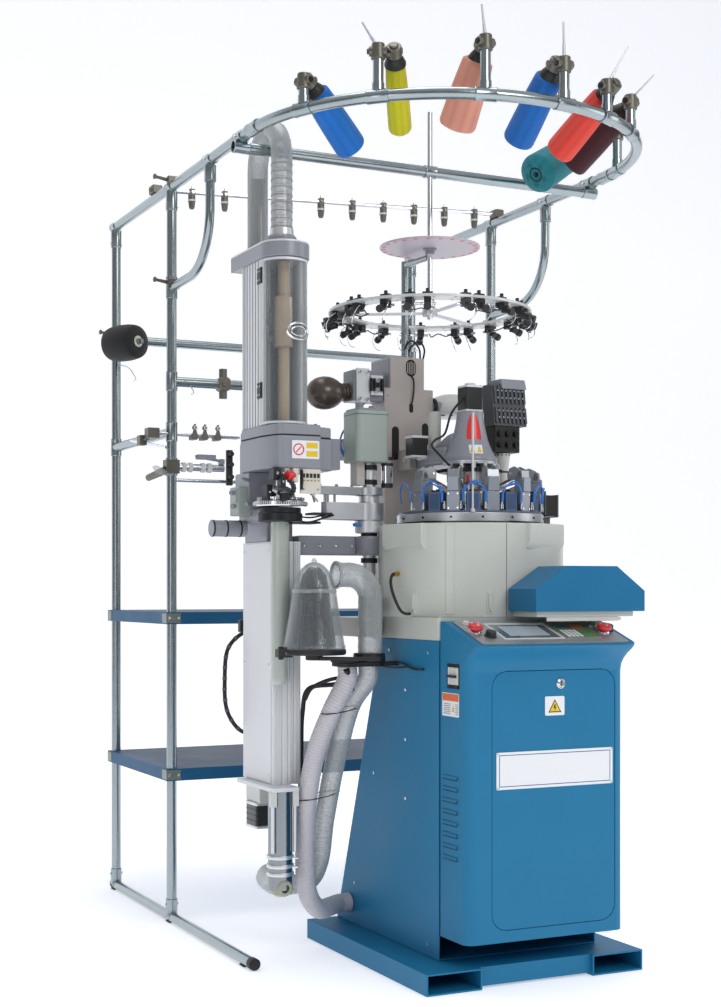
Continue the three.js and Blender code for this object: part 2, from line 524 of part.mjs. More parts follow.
/** Wound yarn cone with its through bore, from the narrow end to the base. */
function cone(a, b, r0, r1) {
  const n = a.distanceTo(b);
  return turnedAlong([[9, 0], [r0 - 6, 0], [r0, 6], [r1, n - 10], [r1 - 8, n], [9, n], [9, 0]], a, b, 16);
}
for (const { name, top, end, r, color } of HOLDERS) node(name, cone(V(...top), V(...end), ...r), paint(color, 0.9));
node("yarn_cone_black", turnedAlong(
  [[10, 0], [46, 0], [62, 12], [62, 113], [46, 125], [10, 125], [10, 0]], SPOOL.back, SPOOL.front, 20,
), paint(0x0c0c0c, 0.9));

export default machine;
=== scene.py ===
"""Computerised sock knitting machine with a toe-linking unit and an overhead yarn creel.

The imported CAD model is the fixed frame. This script gives each of its nodes a finish, swaps the
plain ones for finer surfaces of the same size, and adds the small parts around them: feeders,
needles, clamps, hoses, yarn holders, guides and labels. Lengths are metres, +Z is up and the
operator stands on the -Y side.
"""

import logging
import math
from dataclasses import dataclass
from enum import Enum
from functools import partial
from typing import Callable, Iterable, Sequence

import bmesh
import bpy
import numpy as np
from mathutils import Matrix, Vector


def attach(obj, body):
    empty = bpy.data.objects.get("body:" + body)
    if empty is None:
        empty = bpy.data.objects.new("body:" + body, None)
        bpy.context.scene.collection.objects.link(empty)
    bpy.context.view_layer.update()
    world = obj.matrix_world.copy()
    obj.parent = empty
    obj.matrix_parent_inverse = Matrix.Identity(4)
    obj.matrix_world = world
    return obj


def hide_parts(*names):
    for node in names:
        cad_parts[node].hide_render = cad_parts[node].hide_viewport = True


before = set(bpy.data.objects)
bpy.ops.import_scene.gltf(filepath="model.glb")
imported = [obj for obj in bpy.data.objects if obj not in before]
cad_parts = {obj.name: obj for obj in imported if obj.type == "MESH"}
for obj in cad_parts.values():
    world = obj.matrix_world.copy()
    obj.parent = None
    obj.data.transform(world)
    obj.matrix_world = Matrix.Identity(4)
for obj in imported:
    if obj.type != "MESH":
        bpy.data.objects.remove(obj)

log = logging.getLogger("sock_machine")
MM = 0.001  # metres in a millimetre
FAR = 3000.0  # millimetres: a point this far out lies straight off any face of the machine
Array = np.ndarray
Point = Sequence[float]


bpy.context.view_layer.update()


# ---------------------------------------------------------------- colours and shader helpers


def linear(hex_colour: str, alpha: float = 1.0) -> tuple[float, float, float, float]:
    """Turns an sRGB hex colour into linear light.

    Args:
        hex_colour: Six hex digits.
        alpha: Opacity.

    Returns:
        Linear red, green, blue and alpha.
    """
    value = np.array([int(hex_colour[i : i + 2], 16) for i in (0, 2, 4)]) / 255.0
    low = value / 12.92
    high = ((value + 0.055) / 1.055) ** 2.4
    r, g, b = np.where(value <= 0.04045, low, high)
    return float(r), float(g), float(b), alpha


def add(tree: bpy.types.NodeTree, kind: str, settings: dict | None = None, links: dict | None = None):
    """Adds a shader node.

    Args:
        tree: The node tree.
        kind: Blender's node type name.
        settings: Attribute names, or socket names or numbers, with their values.
        links: Input socket names or numbers, with the output sockets that feed them.

    Returns:
        The new node.
    """
    node = tree.nodes.new(kind)
    for key, value in (settings or {}).items():
        if isinstance(key, str) and hasattr(node, key):
            setattr(node, key, value)
        else:
            node.inputs[key].default_value = value
    for key, source in (links or {}).items():
        tree.links.new(source, node.inputs[key])
    return node


BROAD_PER_METRE = 9.0  # patches of the slow change in tone, per metre
SUM_LOW, SUM_HIGH = 0.6, 1.4  # where the sum of the fine and the broad noise mostly lies


class Grain(Enum):
    """Surface patterns that finishes share."""

    ENAMEL = "enamel"
    POWDER = "powder"
    BRUSHED = "brushed"
    ZINC = "zinc"
    SMOOTH = "smooth"
    MOULDED = "moulded"


@dataclass(frozen=True)
class Finish:
    """A finish: its colour, how it shines, and the pattern that its making leaves.

    Attributes:
        name: The finish in a maker's words.
        colour: sRGB hex.
        roughness: Middle roughness.
        metallic: 1 for bare metal.
        grain: Pattern of the surface.
        size_mm: Size of one pattern feature, millimetres.
        relief_mm: Height of the pattern, millimetres.
        tint: How far the colour wanders, 0 to 1.
        along: Which way brushed lines run, as X, Y or Z.
        coat: Strength of a clear lacquer.
        alpha: Opacity face-on; edges of clear plastic are denser.
        glow: Emission strength of a lit display.
        slot: The record's material slot that it stands for; not used.
    """

    name: str
    colour: str
    roughness: float = 0.4
    metallic: float = 0.0
    grain: Grain = Grain.ENAMEL
    size_mm: float = 2.0
    relief_mm: float = 0.02
    tint: float = 0.06
    along: str = "Z"
    coat: float = 0.0
    alpha: float = 1.0
    glow: float = 0.0
    slot: str = ""

    def material(self) -> bpy.types.Material:
        """Returns the Blender material, made the first time it is asked for."""
        return bpy.data.materials.get(self.name) or self._make()

    def _make(self) -> bpy.types.Material:
        """Builds colour, roughness and bump from noise in object coordinates.

        Returns:
            The new material.
        """
        material = bpy.data.materials.new(self.name)
        material.use_nodes = True
        tree = material.node_tree
        tree.nodes.clear()
        out = add(tree, "ShaderNodeOutputMaterial")
        shader = add(tree, "ShaderNodeBsdfPrincipled",
            {"Base Color": linear(self.colour), "Metallic": self.metallic, "Roughness": self.roughness,
                "Coat Weight": self.coat, "Coat Roughness": 0.12})
        tree.links.new(shader.outputs[0], out.inputs[0])
        place = add(tree, "ShaderNodeTexCoord").outputs["Object"]
        self._pattern(tree, shader, place)
        if self.grain is Grain.POWDER:
            shader.inputs["Specular IOR Level"].default_value = 0.32
        if self.alpha < 1.0:
            self._clear(tree, shader)
            material.use_backface_culling = False
        if self.glow:
            shader.inputs["Emission Color"].default_value = linear(self.colour)
            shader.inputs["Emission Strength"].default_value = self.glow
        material.diffuse_color = linear(self.colour, self.alpha)
        return material

    def _pattern(self, tree: bpy.types.NodeTree, shader: bpy.types.Node, place) -> None:
        """Adds the grain: a fine noise for bump and roughness, a broad one for colour.

        Args:
            tree: The node tree.
            shader: The Principled shader.
            place: Object coordinates, metres.
        """
        per_metre = 1.0 / (self.size_mm * MM)
        stretch = {Grain.BRUSHED: tuple(0.02 if axis == self.along else 1.0 for axis in "XYZ")}.get(self.grain,
            (1.0, 1.0, 1.0))
        scaled = add(tree, "ShaderNodeMapping", {"Scale": stretch}, {"Vector": place}).outputs[0]
        if self.grain is Grain.ZINC:
            fine = add(tree, "ShaderNodeTexVoronoi", {"Scale": per_metre, "Randomness": 1.0},
                {"Vector": scaled})
            grey = add(tree, "ShaderNodeSeparateColor", links={"Color": fine.outputs["Color"]}).outputs[0]
        else:
            fine = add(tree, "ShaderNodeTexNoise",
                {"Scale": per_metre, "Detail": 3.0 if self.grain is Grain.POWDER else 2.0, "Roughness": 0.55},
                {"Vector": scaled})
            grey = fine.outputs["Fac"]
        broad = add(tree, "ShaderNodeTexNoise", {"Scale": BROAD_PER_METRE, "Detail": 4.0, "Roughness": 0.6},
            {"Vector": place})
        both = add(tree, "ShaderNodeMath", {"operation": "ADD"}, {0: grey, 1: broad.outputs["Fac"]}).outputs[0]
        lo, hi = 1.0 - self.tint, 1.0 + self.tint
        shade = add(tree, "ShaderNodeMapRange", {1: SUM_LOW, 2: SUM_HIGH, 3: lo, 4: hi}, {0: both}).outputs[0]
        base = linear(self.colour)
        dark = tuple(c * lo for c in base[:3]) + (1.0,)
        light = tuple(min(1.0, c * hi + 0.004) for c in base[:3]) + (1.0,)
        ramp = add(tree, "ShaderNodeMapRange", {1: lo, 2: hi, 3: 0.0, 4: 1.0}, {0: shade}).outputs[0]
        mix = add(tree, "ShaderNodeMix", {"data_type": "RGBA", 6: dark, 7: light}, {0: ramp})
        tree.links.new(mix.outputs[2], shader.inputs["Base Color"])
        swing = {Grain.SMOOTH: 0.12, Grain.ZINC: 0.14, Grain.BRUSHED: 0.3}.get(self.grain, 0.18)
        rough = add(tree, "ShaderNodeMapRange", {1: SUM_LOW, 2: SUM_HIGH, 3: self.roughness * (1 - swing),
            4: min(1.0, self.roughness * (1 + swing))}, {0: both}).outputs[0]
        tree.links.new(rough, shader.inputs["Roughness"])
        if self.relief_mm:
            bump = add(tree, "ShaderNodeBump", {"Strength": 0.6, "Distance": self.relief_mm * MM},
                {"Height": grey})
            tree.links.new(bump.outputs[0], shader.inputs["Normal"])

    def _clear(self, tree: bpy.types.NodeTree, shader: bpy.types.Node) -> None:
        """Makes a thin clear wall: see-through face-on, denser where it is seen along its wall."""
        edge = add(tree, "ShaderNodeLayerWeight", {"Blend": 0.42}).outputs["Facing"]
        cover = add(tree, "ShaderNodeMapRange",
            {1: 0.0, 2: 1.0, 3: self.alpha, 4: min(1.0, self.alpha + 0.62)}, {0: edge})
        tree.links.new(cover.outputs[0], shader.inputs["Alpha"])
        shader.inputs["Specular IOR Level"].default_value = 0.9


@dataclass(frozen=True)
class Yarn(Finish):
    """Wound yarn: thread passes that cross at a shallow angle round the cone.

    Attributes:
        start: Narrow end's centre, metres.
        turn: Euler angles that stand the cone's axis along Z.
        thread_mm: Space between thread passes, drawn coarse enough to show.
    """

    start: tuple[float, float, float] = (0.0, 0.0, 0.0)
    turn: tuple[float, float, float] = (0.0, 0.0, 0.0)
    thread_mm: float = 2.4

    def _pattern(self, tree: bpy.types.NodeTree, shader: bpy.types.Node, place) -> None:
        """Adds two helices, sin(k z + n a) and sin(k z - n a), and takes the higher one.

        Args:
            tree: The node tree.
            shader: The Principled shader.
            place: Object coordinates, metres.
        """
        back = tuple(-c for c in self.start)
        moved = add(tree, "ShaderNodeMapping", {"Location": back}, {"Vector": place}).outputs[0]
        own = add(tree, "ShaderNodeMapping", {"Rotation": self.turn}, {"Vector": moved}).outputs[0]
        xyz = add(tree, "ShaderNodeSeparateXYZ", links={0: own}).outputs
        angle = add(tree, "ShaderNodeMath", {"operation": "ARCTAN2"}, {0: xyz[1], 1: xyz[0]}).outputs[0]
        along = add(tree, "ShaderNodeMath", {"operation": "MULTIPLY", 1: math.tau / (self.thread_mm * MM)},
            {0: xyz[2]}).outputs[0]
        waves = []
        for turns in (5.0, -5.0):
            lean = add(tree, "ShaderNodeMath", {"operation": "MULTIPLY_ADD", 1: turns},
                {0: angle, 2: along}).outputs[0]
            waves.append(add(tree, "ShaderNodeMath", {"operation": "SINE"}, {0: lean}).outputs[0])
        top = add(tree, "ShaderNodeMath", {"operation": "MAXIMUM"}, {0: waves[0], 1: waves[1]}).outputs[0]
        fuzz = add(tree, "ShaderNodeTexNoise", {"Scale": 900.0, "Detail": 3.0},
            {"Vector": place}).outputs["Fac"]
        height = add(tree, "ShaderNodeMath", {"operation": "MULTIPLY_ADD", 1: 0.35},
            {0: top, 2: fuzz}).outputs[0]
        base = linear(self.colour)
        mix = add(tree, "ShaderNodeMix", {"data_type": "RGBA", 6: tuple(c * 0.62 for c in base[:3]) + (1.0,),
            7: tuple(min(1.0, c * 1.12 + 0.004) for c in base[:3]) + (1.0,)},
            {0: add(tree, "ShaderNodeMapRange", {1: 0.2, 2: 1.0}, {0: height}).outputs[0]})
        tree.links.new(mix.outputs[2], shader.inputs["Base Color"])
        bump = add(tree, "ShaderNodeBump", {"Strength": 0.8, "Distance": 0.5 * MM}, {"Height": height})
        tree.links.new(bump.outputs[0], shader.inputs["Normal"])
        shader.inputs["Sheen Weight"].default_value = 0.12
        shader.inputs["Sheen Roughness"].default_value = 0.5


powder = partial(Finish, grain=Grain.POWDER)
moulded = partial(Finish, grain=Grain.MOULDED, size_mm=1.0, relief_mm=0.02)
smooth = partial(Finish, grain=Grain.SMOOTH, size_mm=6.0, relief_mm=0.0)

# Powder-coated steel: fine orange peel, soft broad sheen, small drift in tone.
CABINET_BLUE = powder("powder_coated_steel_blue", "17759F", 0.5, size_mm=1.6, relief_mm=0.04, tint=0.05,
    slot="cabinet_blue")
HOOD_BLUE = powder("powder_coated_steel_deep_blue", "126C98", 0.44, size_mm=1.6, relief_mm=0.04, tint=0.05,
    slot="hood_blue")
SHELF_BLUE = powder("powder_coated_tray_blue", "17587F", 0.48, size_mm=1.8, relief_mm=0.05, tint=0.07,
    slot="shelf_blue")
# Enamelled castings: smooth, a little wavy, faint dust in the hollows.
OFF_WHITE = Finish("enamelled_casting_off_white", "C9CCC3", 0.36, size_mm=5.0, relief_mm=0.05, tint=0.035,
    coat=0.15, slot="off_white_paint")
BEIGE = Finish("enamelled_casting_beige", "B9B0AA", 0.42, size_mm=4.0, relief_mm=0.08, tint=0.05, coat=0.1,
    slot="column_beige")
CAST_GREY = Finish("enamelled_casting_grey", "8D9097", 0.34, size_mm=3.0, relief_mm=0.06, tint=0.06, coat=0.15,
    slot="casting_grey")
GREEN_GREY = Finish("enamelled_cover_green_grey", "9CA79F", 0.36, size_mm=4.0, relief_mm=0.04, tint=0.04,
    coat=0.15, slot="lift_cover_green_grey")
BRONZE = Finish("bronze_lacquered_casting", "5E524A", 0.34, 0.55, size_mm=2.5, relief_mm=0.08, tint=0.12,
    coat=0.2, slot="bronze_blower")
# Bare metals: brushed ones keep fine lines, chrome and zinc plate show only faint smears,
# castings a tumbled grain.
ALUMINIUM = Finish("brushed_aluminium", "CFD2D4", 0.34, 1.0, Grain.BRUSHED, 0.7, 0.015, 0.08, "Z",
    slot="machined_aluminium")
ALU_FLAT = Finish("brushed_aluminium_plate", "C9CCCE", 0.36, 1.0, Grain.BRUSHED, 0.7, 0.015, 0.08, "X",
    slot="machined_aluminium")
ALU_SATIN = Finish("satin_anodised_aluminium", "E0E2E3", 0.5, 0.35, Grain.BRUSHED, 0.8, 0.01, 0.04, "Z",
    slot="machined_aluminium")
FEEDER_ALLOY = Finish("grey_anodised_aluminium", "949AA3", 0.34, 0.6, Grain.BRUSHED, 0.8, 0.02, 0.08, "Z",
    slot="feeder_alloy")
ZINC = Finish("zinc_plated_tube", "A3ADAF", 0.24, 1.0, Grain.SMOOTH, 30.0, 0.0, 0.06, "Z",
    slot="galvanised_tube")
CASTING_ZINC = Finish("tumbled_zinc_casting", "77746A", 0.42, 0.85, Grain.ENAMEL, 1.8, 0.12, 0.18)
GROUND_STEEL = Finish("ground_steel", "BDC0C2", 0.24, 1.0, Grain.BRUSHED, 0.5, 0.01, 0.08, "X",
    slot="ground_steel")
TUBE_STEEL = Finish("polished_steel_tube", "8C9194", 0.2, 1.0, Grain.BRUSHED, 0.6, 0.006, 0.08, "Z",
    slot="polished_chrome")
CHROME = Finish("polished_chrome", "D8DBDE", 0.09, 1.0, Grain.SMOOTH, 40.0, 0.0, 0.03, slot="polished_chrome")
BRASS = Finish("turned_brass", "C79A3E", 0.26, 1.0, Grain.BRUSHED, 0.5, 0.01, 0.08, "X")
DARK_STEEL = Finish("blackened_steel", "34363A", 0.38, 0.8, Grain.BRUSHED, 0.8, 0.03, 0.2, "Z")
PANEL = Finish("brushed_steel_panel", "A9ADB0", 0.42, 0.7, Grain.BRUSHED, 0.7, 0.012, 0.06, "X",
    slot="machined_aluminium")
COVER_BLUE = Finish("blue_grey_printed_cover", "41597C", 0.4, 0.3, Grain.BRUSHED, 0.9, 0.02, 0.08, "Z",
    slot="feeder_alloy")
SLATE = Finish("slate_anodised_aluminium", "5F6E86", 0.4, 0.45, Grain.BRUSHED, 0.9, 0.02, 0.08, "Z",
    slot="feeder_alloy")
FORK_ALLOY = Finish("light_grey_zinc_alloy", "A4A9AC", 0.36, 0.75, Grain.ENAMEL, 1.6, 0.06, 0.1,
    slot="feeder_alloy")
BRACKET = Finish("olive_passivated_steel", "8E9388", 0.36, 0.8, Grain.ZINC, 5.0, 0.01, 0.08,
    slot="galvanised_tube")
TAN = Finish("tan_phenolic_tube", "B9A489", 0.36, grain=Grain.BRUSHED, size_mm=1.0, relief_mm=0.02, tint=0.1,
    along="Z", coat=0.3)
# Plastics: moulded faces have a fine even grain; clear ones brighten at their edges.
BLACK = moulded("moulded_black_nylon", "1C1C1B", 0.42, size_mm=0.9, relief_mm=0.03, tint=0.2,
    slot="black_plastic")
MOTOR_BLACK = moulded("black_motor_enamel", "20241E", 0.34, size_mm=1.2, relief_mm=0.04, tint=0.2, coat=0.2,
    slot="black_plastic")
DARK_GREY = moulded("moulded_dark_grey_nylon", "4C4F53", 0.42, relief_mm=0.04, tint=0.12)
LIGHT_GREY = moulded("moulded_light_grey_abs", "D3D4CF", 0.4, tint=0.03, slot="light_plastic")
CREAM = moulded("moulded_cream_abs", "D9D5C6", 0.42, tint=0.04)
RED = moulded("moulded_red_abs", "D9232B", 0.3, relief_mm=0.015, tint=0.05, coat=0.4, slot="red_plastic")
GREEN = moulded("moulded_green_abs", "2FA04C", 0.3, relief_mm=0.015, tint=0.05, coat=0.3, slot="green_plastic")
AIR_BLUE = smooth("blue_polyurethane_tube", "1F6EC2", 0.22, size_mm=3.0, tint=0.06, coat=0.3)
RUBBER = moulded("black_cable_rubber", "141414", 0.55, size_mm=0.8, relief_mm=0.04, tint=0.25,
    slot="cable_black")
HOSE_GREY = moulded("ribbed_grey_white_vinyl", "C4C0C4", 0.42, size_mm=6.0, relief_mm=0.05, tint=0.08,
    slot="white_hose_pvc")
CLEAR = smooth("clear_polycarbonate", "A9B0B2", 0.05, size_mm=30.0, tint=0.02, alpha=0.10, slot="clear_plastic")
CLEAR_HOSE = smooth("clear_ribbed_vinyl", "BCC1C1", 0.14, size_mm=8.0, tint=0.05, alpha=0.34,
    slot="clear_hose_pvc")
FROSTED = smooth("frosted_green_grey_tube", "C3CCC2", 0.2, size_mm=10.0, tint=0.05, alpha=0.72, coat=0.3)
ACRYLIC = smooth("translucent_white_acrylic", "DCE0DD", 0.24, size_mm=12.0, tint=0.03, alpha=0.78, coat=0.4,
    slot="acrylic_ring")
PORCELAIN = smooth("glazed_ceramic_eyelet", "E9E4D8", 0.16, size_mm=4.0, tint=0.03, coat=0.5)
OLIVE_CLEAR = smooth("olive_tinted_moulding", "A9AA8E", 0.16, size_mm=8.0, tint=0.08, alpha=0.8, coat=0.4)
LINT_MESH = Finish("stainless_lint_mesh", "55575A", 0.3, 0.9, Grain.BRUSHED, 6.0, 0.1, 0.5, "Z", alpha=0.66)
HOOP = smooth("bronze_tinted_hoop", "8B7C72", 0.3, size_mm=4.0, tint=0.05)
LINING = moulded("pale_tube_lining", "D8D3C8", 0.5, size_mm=4.0, tint=0.05)
# The tray tops are a greyer blue than their sides.
SHELF_TOP_GREY = powder("greyer_tray_top", "35546F", 0.5, size_mm=2.0, relief_mm=0.06, tint=0.1, slot="shelf_blue")
# Printed foils and the display.
SCREEN = smooth("display_glass", "55626A", 0.08, size_mm=30.0, tint=0.05, coat=0.6, glow=0.10,
    slot="screen_glass")
SCREEN_LIT = smooth("display_panel_lit", "8D9AA1", 0.2, size_mm=10.0, tint=0.05, glow=0.35)
KEY_FOIL = moulded("keypad_foil_olive", "6C7A55", 0.4, tint=0.1)
WHITE_FOIL = smooth("white_printed_foil", "EDEFF0", 0.34, tint=0.02, coat=0.2)
YELLOW_FOIL = smooth("yellow_printed_foil", "E8C51E", 0.34, tint=0.03, coat=0.2)
ORANGE_FOIL = smooth("orange_printed_foil", "E06A24", 0.34, tint=0.03, coat=0.2)
RED_FOIL = smooth("red_printed_foil", "DC2A2C", 0.32, tint=0.03, coat=0.3)
BLUE_INK = smooth("blue_printed_ink", "2C5C96", 0.36, tint=0.03)
DISC_SHEET = moulded("lilac_grey_polymer_sheet", "C9BDC6", 0.36, size_mm=3.0, tint=0.05, alpha=0.9,
    slot="guide_disc_sheet")
PINK = smooth("pink_enamel_spot", "E06A84", 0.3, size_mm=3.0, tint=0.05)
# Flat black: painted shade in slots, recesses and the gaps round parts, and also black print and dark seams.
HOLLOW = moulded("unlit_recess_black", "0E0F10", 0.7, size_mm=2.0, tint=0.2)


# ---------------------------------------------------------------- shapes, in millimetres


@dataclass
class Shape:
    """Points in millimetres, and the faces of one or more closed skins.

    Attributes:
        points: An n by 3 array.
        faces: Point numbers of each face.
    """

    points: Array
    faces: list

    def __add__(self, other: "Shape") -> "Shape":
        """Returns both shapes as one."""
        shift = len(self.points)
        return Shape(np.vstack([self.points, other.points]),
            self.faces + [[i + shift for i in f] for f in other.faces])

    def moved(self, x: float = 0.0, y: float = 0.0, z: float = 0.0) -> "Shape":
        """Returns the shape shifted by x, y and z."""
        return Shape(self.points + np.array([x, y, z]), self.faces)

    def about_z(self, degrees: float, x: float = 0.0, y: float = 0.0) -> "Shape":
        """Returns the shape turned about the vertical through x and y."""
        c, s = math.cos(math.radians(degrees)), math.sin(math.radians(degrees))
        pin = np.array([x, y, 0.0])
        return Shape((self.points - pin) @ np.array([[c, s, 0], [-s, c, 0], [0, 0, 1]]) + pin, self.faces)

    def aimed(self, start: Point, end: Point, roll: float = 0.0) -> "Shape":
        """Returns the shape with its origin at start and its Z axis towards end.

        Args:
            start: Where the origin goes.
            end: A point that the Z axis passes through.
            roll: Degrees to turn it about its own axis first.

        Returns:
            The placed shape.
        """
        z = np.subtract(end, start).astype(float)
        z /= np.linalg.norm(z)
        x = np.cross([0.0, 0.0, 1.0], z) if abs(z[2]) < 0.999 else np.array([0.0, 1.0, 0.0])
        x = x / np.linalg.norm(x)
        axes = np.array([x, np.cross(z, x), z])
        return Shape(self.about_z(roll).points @ axes + np.asarray(start, float), self.faces)

    def on_console(self) -> "Shape":
        """Returns a shape given in console axes, x across, y up the slope and z off the panel, in place."""
        c, s = math.cos(SLOPE), math.sin(SLOPE)
        axes = np.array([[1, 0, 0], [0, c, s], [0, -s, c]])
        return Shape(self.points @ axes + np.array([0.0, *CONSOLE]), self.faces)


def merged(shapes: Iterable[Shape]) -> Shape:
    """Joins many shapes into one.

    Args:
        shapes: The shapes.

    Returns:
        One shape with all their skins.
    """
    parts = list(shapes)
    starts = np.cumsum([0] + [len(s.points) for s in parts])
    faces = [[i + int(n) for i in f] for n, s in zip(starts, parts) for f in s.faces]
    return Shape(np.vstack([s.points for s in parts]), faces)


def grid_faces(rows: int, cols: int, round_rows: bool, round_cols: bool) -> list:
    """Faces between the neighbours of a grid of points.

    Args:
        rows: Points one way.
        cols: Points the other way.
        round_rows: Whether the last row joins the first.
        round_cols: Whether the last column joins the first.

    Returns:
        Four point numbers for each face.
    """
    i, j = np.meshgrid(np.arange(rows - (not round_rows)), np.arange(cols - (not round_cols)), indexing="ij")
    a, b = i * cols + j, i * cols + (j + 1) % cols
    below = ((i + 1) % rows) * cols
    return np.stack([a, b, below + (j + 1) % cols, below + j], -1).reshape(-1, 4).tolist()


def frames(path: Array) -> tuple[Array, Array]:
    """Two directions across a path, steady along it.

    The reference is the direction that the path's tangents lean on least; side = reference x
    tangent, and up = tangent x side.

    Args:
        path: Points of the path.

    Returns:
        The side and up directions at each point.
    """
    tangent = np.gradient(path, axis=0)
    tangent /= np.linalg.norm(tangent, axis=1)[:, None]
    side = np.cross(np.linalg.svd(tangent)[2][-1], tangent)
    side /= np.linalg.norm(side, axis=1)[:, None]
    return side, np.cross(tangent, side)


def pipe(path: Sequence[Point], radius, bore=None, sides: int = 16) -> Shape:
    """A round rod or tube along a path.

    The point at station i and angle t is path[i] + radius[i] (cos t side[i] + sin t up[i]). A
    tube's skin runs back along its bore, so that it is one closed surface.

    Args:
        path: Points along the middle.
        radius: One radius, or one for each point.
        bore: Inner radius or radii; None for a rod.
        sides: Points round it.

    Returns:
        The rod or tube.
    """
    centre = np.asarray(path, float)
    side, up = frames(centre)
    n = len(centre)
    r = np.broadcast_to(np.asarray(radius, float), n)
    if bore is not None:
        r = np.concatenate([r, np.broadcast_to(np.asarray(bore, float), n)[::-1]])
        centre, side, up = (np.vstack([a, a[::-1]]) for a in (centre, side, up))
    t = np.arange(sides) * math.tau / sides
    ring = np.cos(t)[None, :, None] * side[:, None] + np.sin(t)[None, :, None] * up[:, None]
    points = (centre[:, None] + r[:, None, None] * ring).reshape(-1, 3)
    faces = grid_faces(len(centre), sides, bore is not None, True)
    if bore is None:
        last = (n - 1) * sides
        faces += [list(range(sides))[::-1], list(range(last, last + sides))]
    return Shape(points, faces)


def rod(a: Point, b: Point, r: float, r_end: float | None = None, sides: int = 16) -> Shape:
    """Returns a straight round bar from a to b, tapering from r to r_end."""
    return pipe([a, b], [r, r if r_end is None else r_end], sides=sides)


def lathe(profile: Sequence[Point], at: Point = (0, 0, 0), towards: Point | None = None, sides: int = 48,
        loop: bool = False, arc: tuple[float, float] | None = None) -> Shape:
    """A profile turned about an axis.

    The point at profile entry (r, h) and angle t is r (cos t, sin t) across and h along the axis.

    Args:
        profile: Radius and height pairs.
        at: Foot of the axis.
        towards: A point on the axis; straight up if left out.
        sides: Points round it.
        loop: Whether the profile closes on itself, as a ring's does.
        arc: First and last angle in degrees, for a part turn.

    Returns:
        The turned shape.
    """
    p = np.asarray(profile, float)
    first, last = arc or (0.0, 360.0)
    count = sides + (arc is not None)
    t = np.radians(first + np.arange(count) * (last - first) / sides)
    points = np.stack([p[:, :1] * np.cos(t), p[:, :1] * np.sin(t), np.repeat(p[:, 1:], count, 1)], -1)
    faces = grid_faces(len(p), count, loop, arc is None)
    if arc is not None:
        rows = np.arange(len(p)) * count
        faces += [rows.tolist(), (rows + count - 1)[::-1].tolist()]
    shape = Shape(points.reshape(-1, 3), faces)
    return shape.aimed(at, towards) if towards is not None else shape.moved(*at)


def plate(outline: Sequence[Point], low: float, high: float, axes: str = "xyz") -> Shape:
    """A flat outline given a thickness.

    Args:
        outline: Points of the outline, in its own two directions.
        low: One face, along the third direction.
        high: The other face.
        axes: Which world axes the outline's two directions and the thickness run along.

    Returns:
        The plate.
    """
    flat = np.asarray(outline, float)
    n = len(flat)
    layers = np.vstack([np.column_stack([flat, np.full(n, z)]) for z in (low, high)])
    points = np.empty_like(layers)
    points[:, ["xyz".index(a) for a in axes]] = layers
    faces = grid_faces(2, n, False, True) + [list(range(n))[::-1], list(range(n, 2 * n))]
    return Shape(points, faces)


def block(x0: float, x1: float, y0: float, y1: float, z0: float, z1: float) -> Shape:
    """Returns a block between two corners; its bevel comes when it is placed."""
    return plate([(x0, y0), (x1, y0), (x1, y1), (x0, y1)], z0, z1)


def rounded(x0: float, x1: float, y0: float, y1: float, r: float, steps: int = 6) -> Array:
    """Outline of a rectangle with rounded corners.

    Args:
        x0: Left.
        x1: Right.
        y0: Bottom.
        y1: Top.
        r: Corner radius.
        steps: Pieces in each corner.

    Returns:
        Points anticlockwise.
    """
    t = np.radians(np.linspace(0, 90, steps + 1))[None, :] + np.radians([-90, 0, 90, 180])[:, None]
    cx = np.array([x1 - r, x1 - r, x0 + r, x0 + r])[:, None] + r * np.cos(t)
    cy = np.array([y0 + r, y1 - r, y1 - r, y0 + r])[:, None] + r * np.sin(t)
    return np.column_stack([cx.ravel(), cy.ravel()])


def spline(knots: Sequence[Point], count: int = 60) -> Array:
    """A smooth line through given points: centripetal Catmull-Rom, evenly spaced.

    Knot times are the square roots of the gaps; each span is Barry and Goldman's pyramid.

    Args:
        knots: The points that it passes through.
        count: Points to return.

    Returns:
        A count by 3 array.
    """
    p = np.asarray(knots, float)
    p = np.vstack([2 * p[0] - p[1], p, 2 * p[-1] - p[-2]])
    t = np.concatenate([[0.0], np.cumsum(np.sqrt(np.linalg.norm(np.diff(p, axis=0), axis=1)))])
    s = np.linspace(t[1], t[-2], 1200)
    k = np.clip(np.searchsorted(t, s, side="right") - 1, 1, len(p) - 3)
    q, u = [p[k + d] for d in (-1, 0, 1, 2)], [t[k + d][:, None] for d in (-1, 0, 1, 2)]
    now = s[:, None]

    def between(a: Array, b: Array, ta: Array, tb: Array) -> Array:
        """Returns the point between a and b at the present time."""
        return ((tb - now) * a + (now - ta) * b) / (tb - ta)

    one = [between(q[i], q[i + 1], u[i], u[i + 1]) for i in range(3)]
    two = [between(one[i], one[i + 1], u[i], u[i + 2]) for i in range(2)]
    line = between(two[0], two[1], u[1], u[2])
    return resample(line, count)


def resample(line: Array, count: int) -> Array:
    """Returns count points spaced evenly along a line."""
    run = np.concatenate([[0.0], np.cumsum(np.linalg.norm(np.diff(line, axis=0), axis=1))])
    want = np.linspace(0, run[-1], count)
    return np.column_stack([np.interp(want, run, line[:, i]) for i in range(3)])


def bezier(a: Point, b: Point, c: Point, d: Point, count: int = 24) -> Array:
    """Returns points on the cubic curve with end points a and d and handles b and c."""
    t = np.linspace(0, 1, count)[:, None]
    a, b, c, d = (np.asarray(p, float) for p in (a, b, c, d))
    return (1 - t) ** 3 * a + 3 * (1 - t) ** 2 * t * b + 3 * (1 - t) * t**2 * c + t**3 * d


def length_of(line: Array) -> float:
    """Returns a line's length."""
    return float(np.linalg.norm(np.diff(line, axis=0), axis=1).sum())


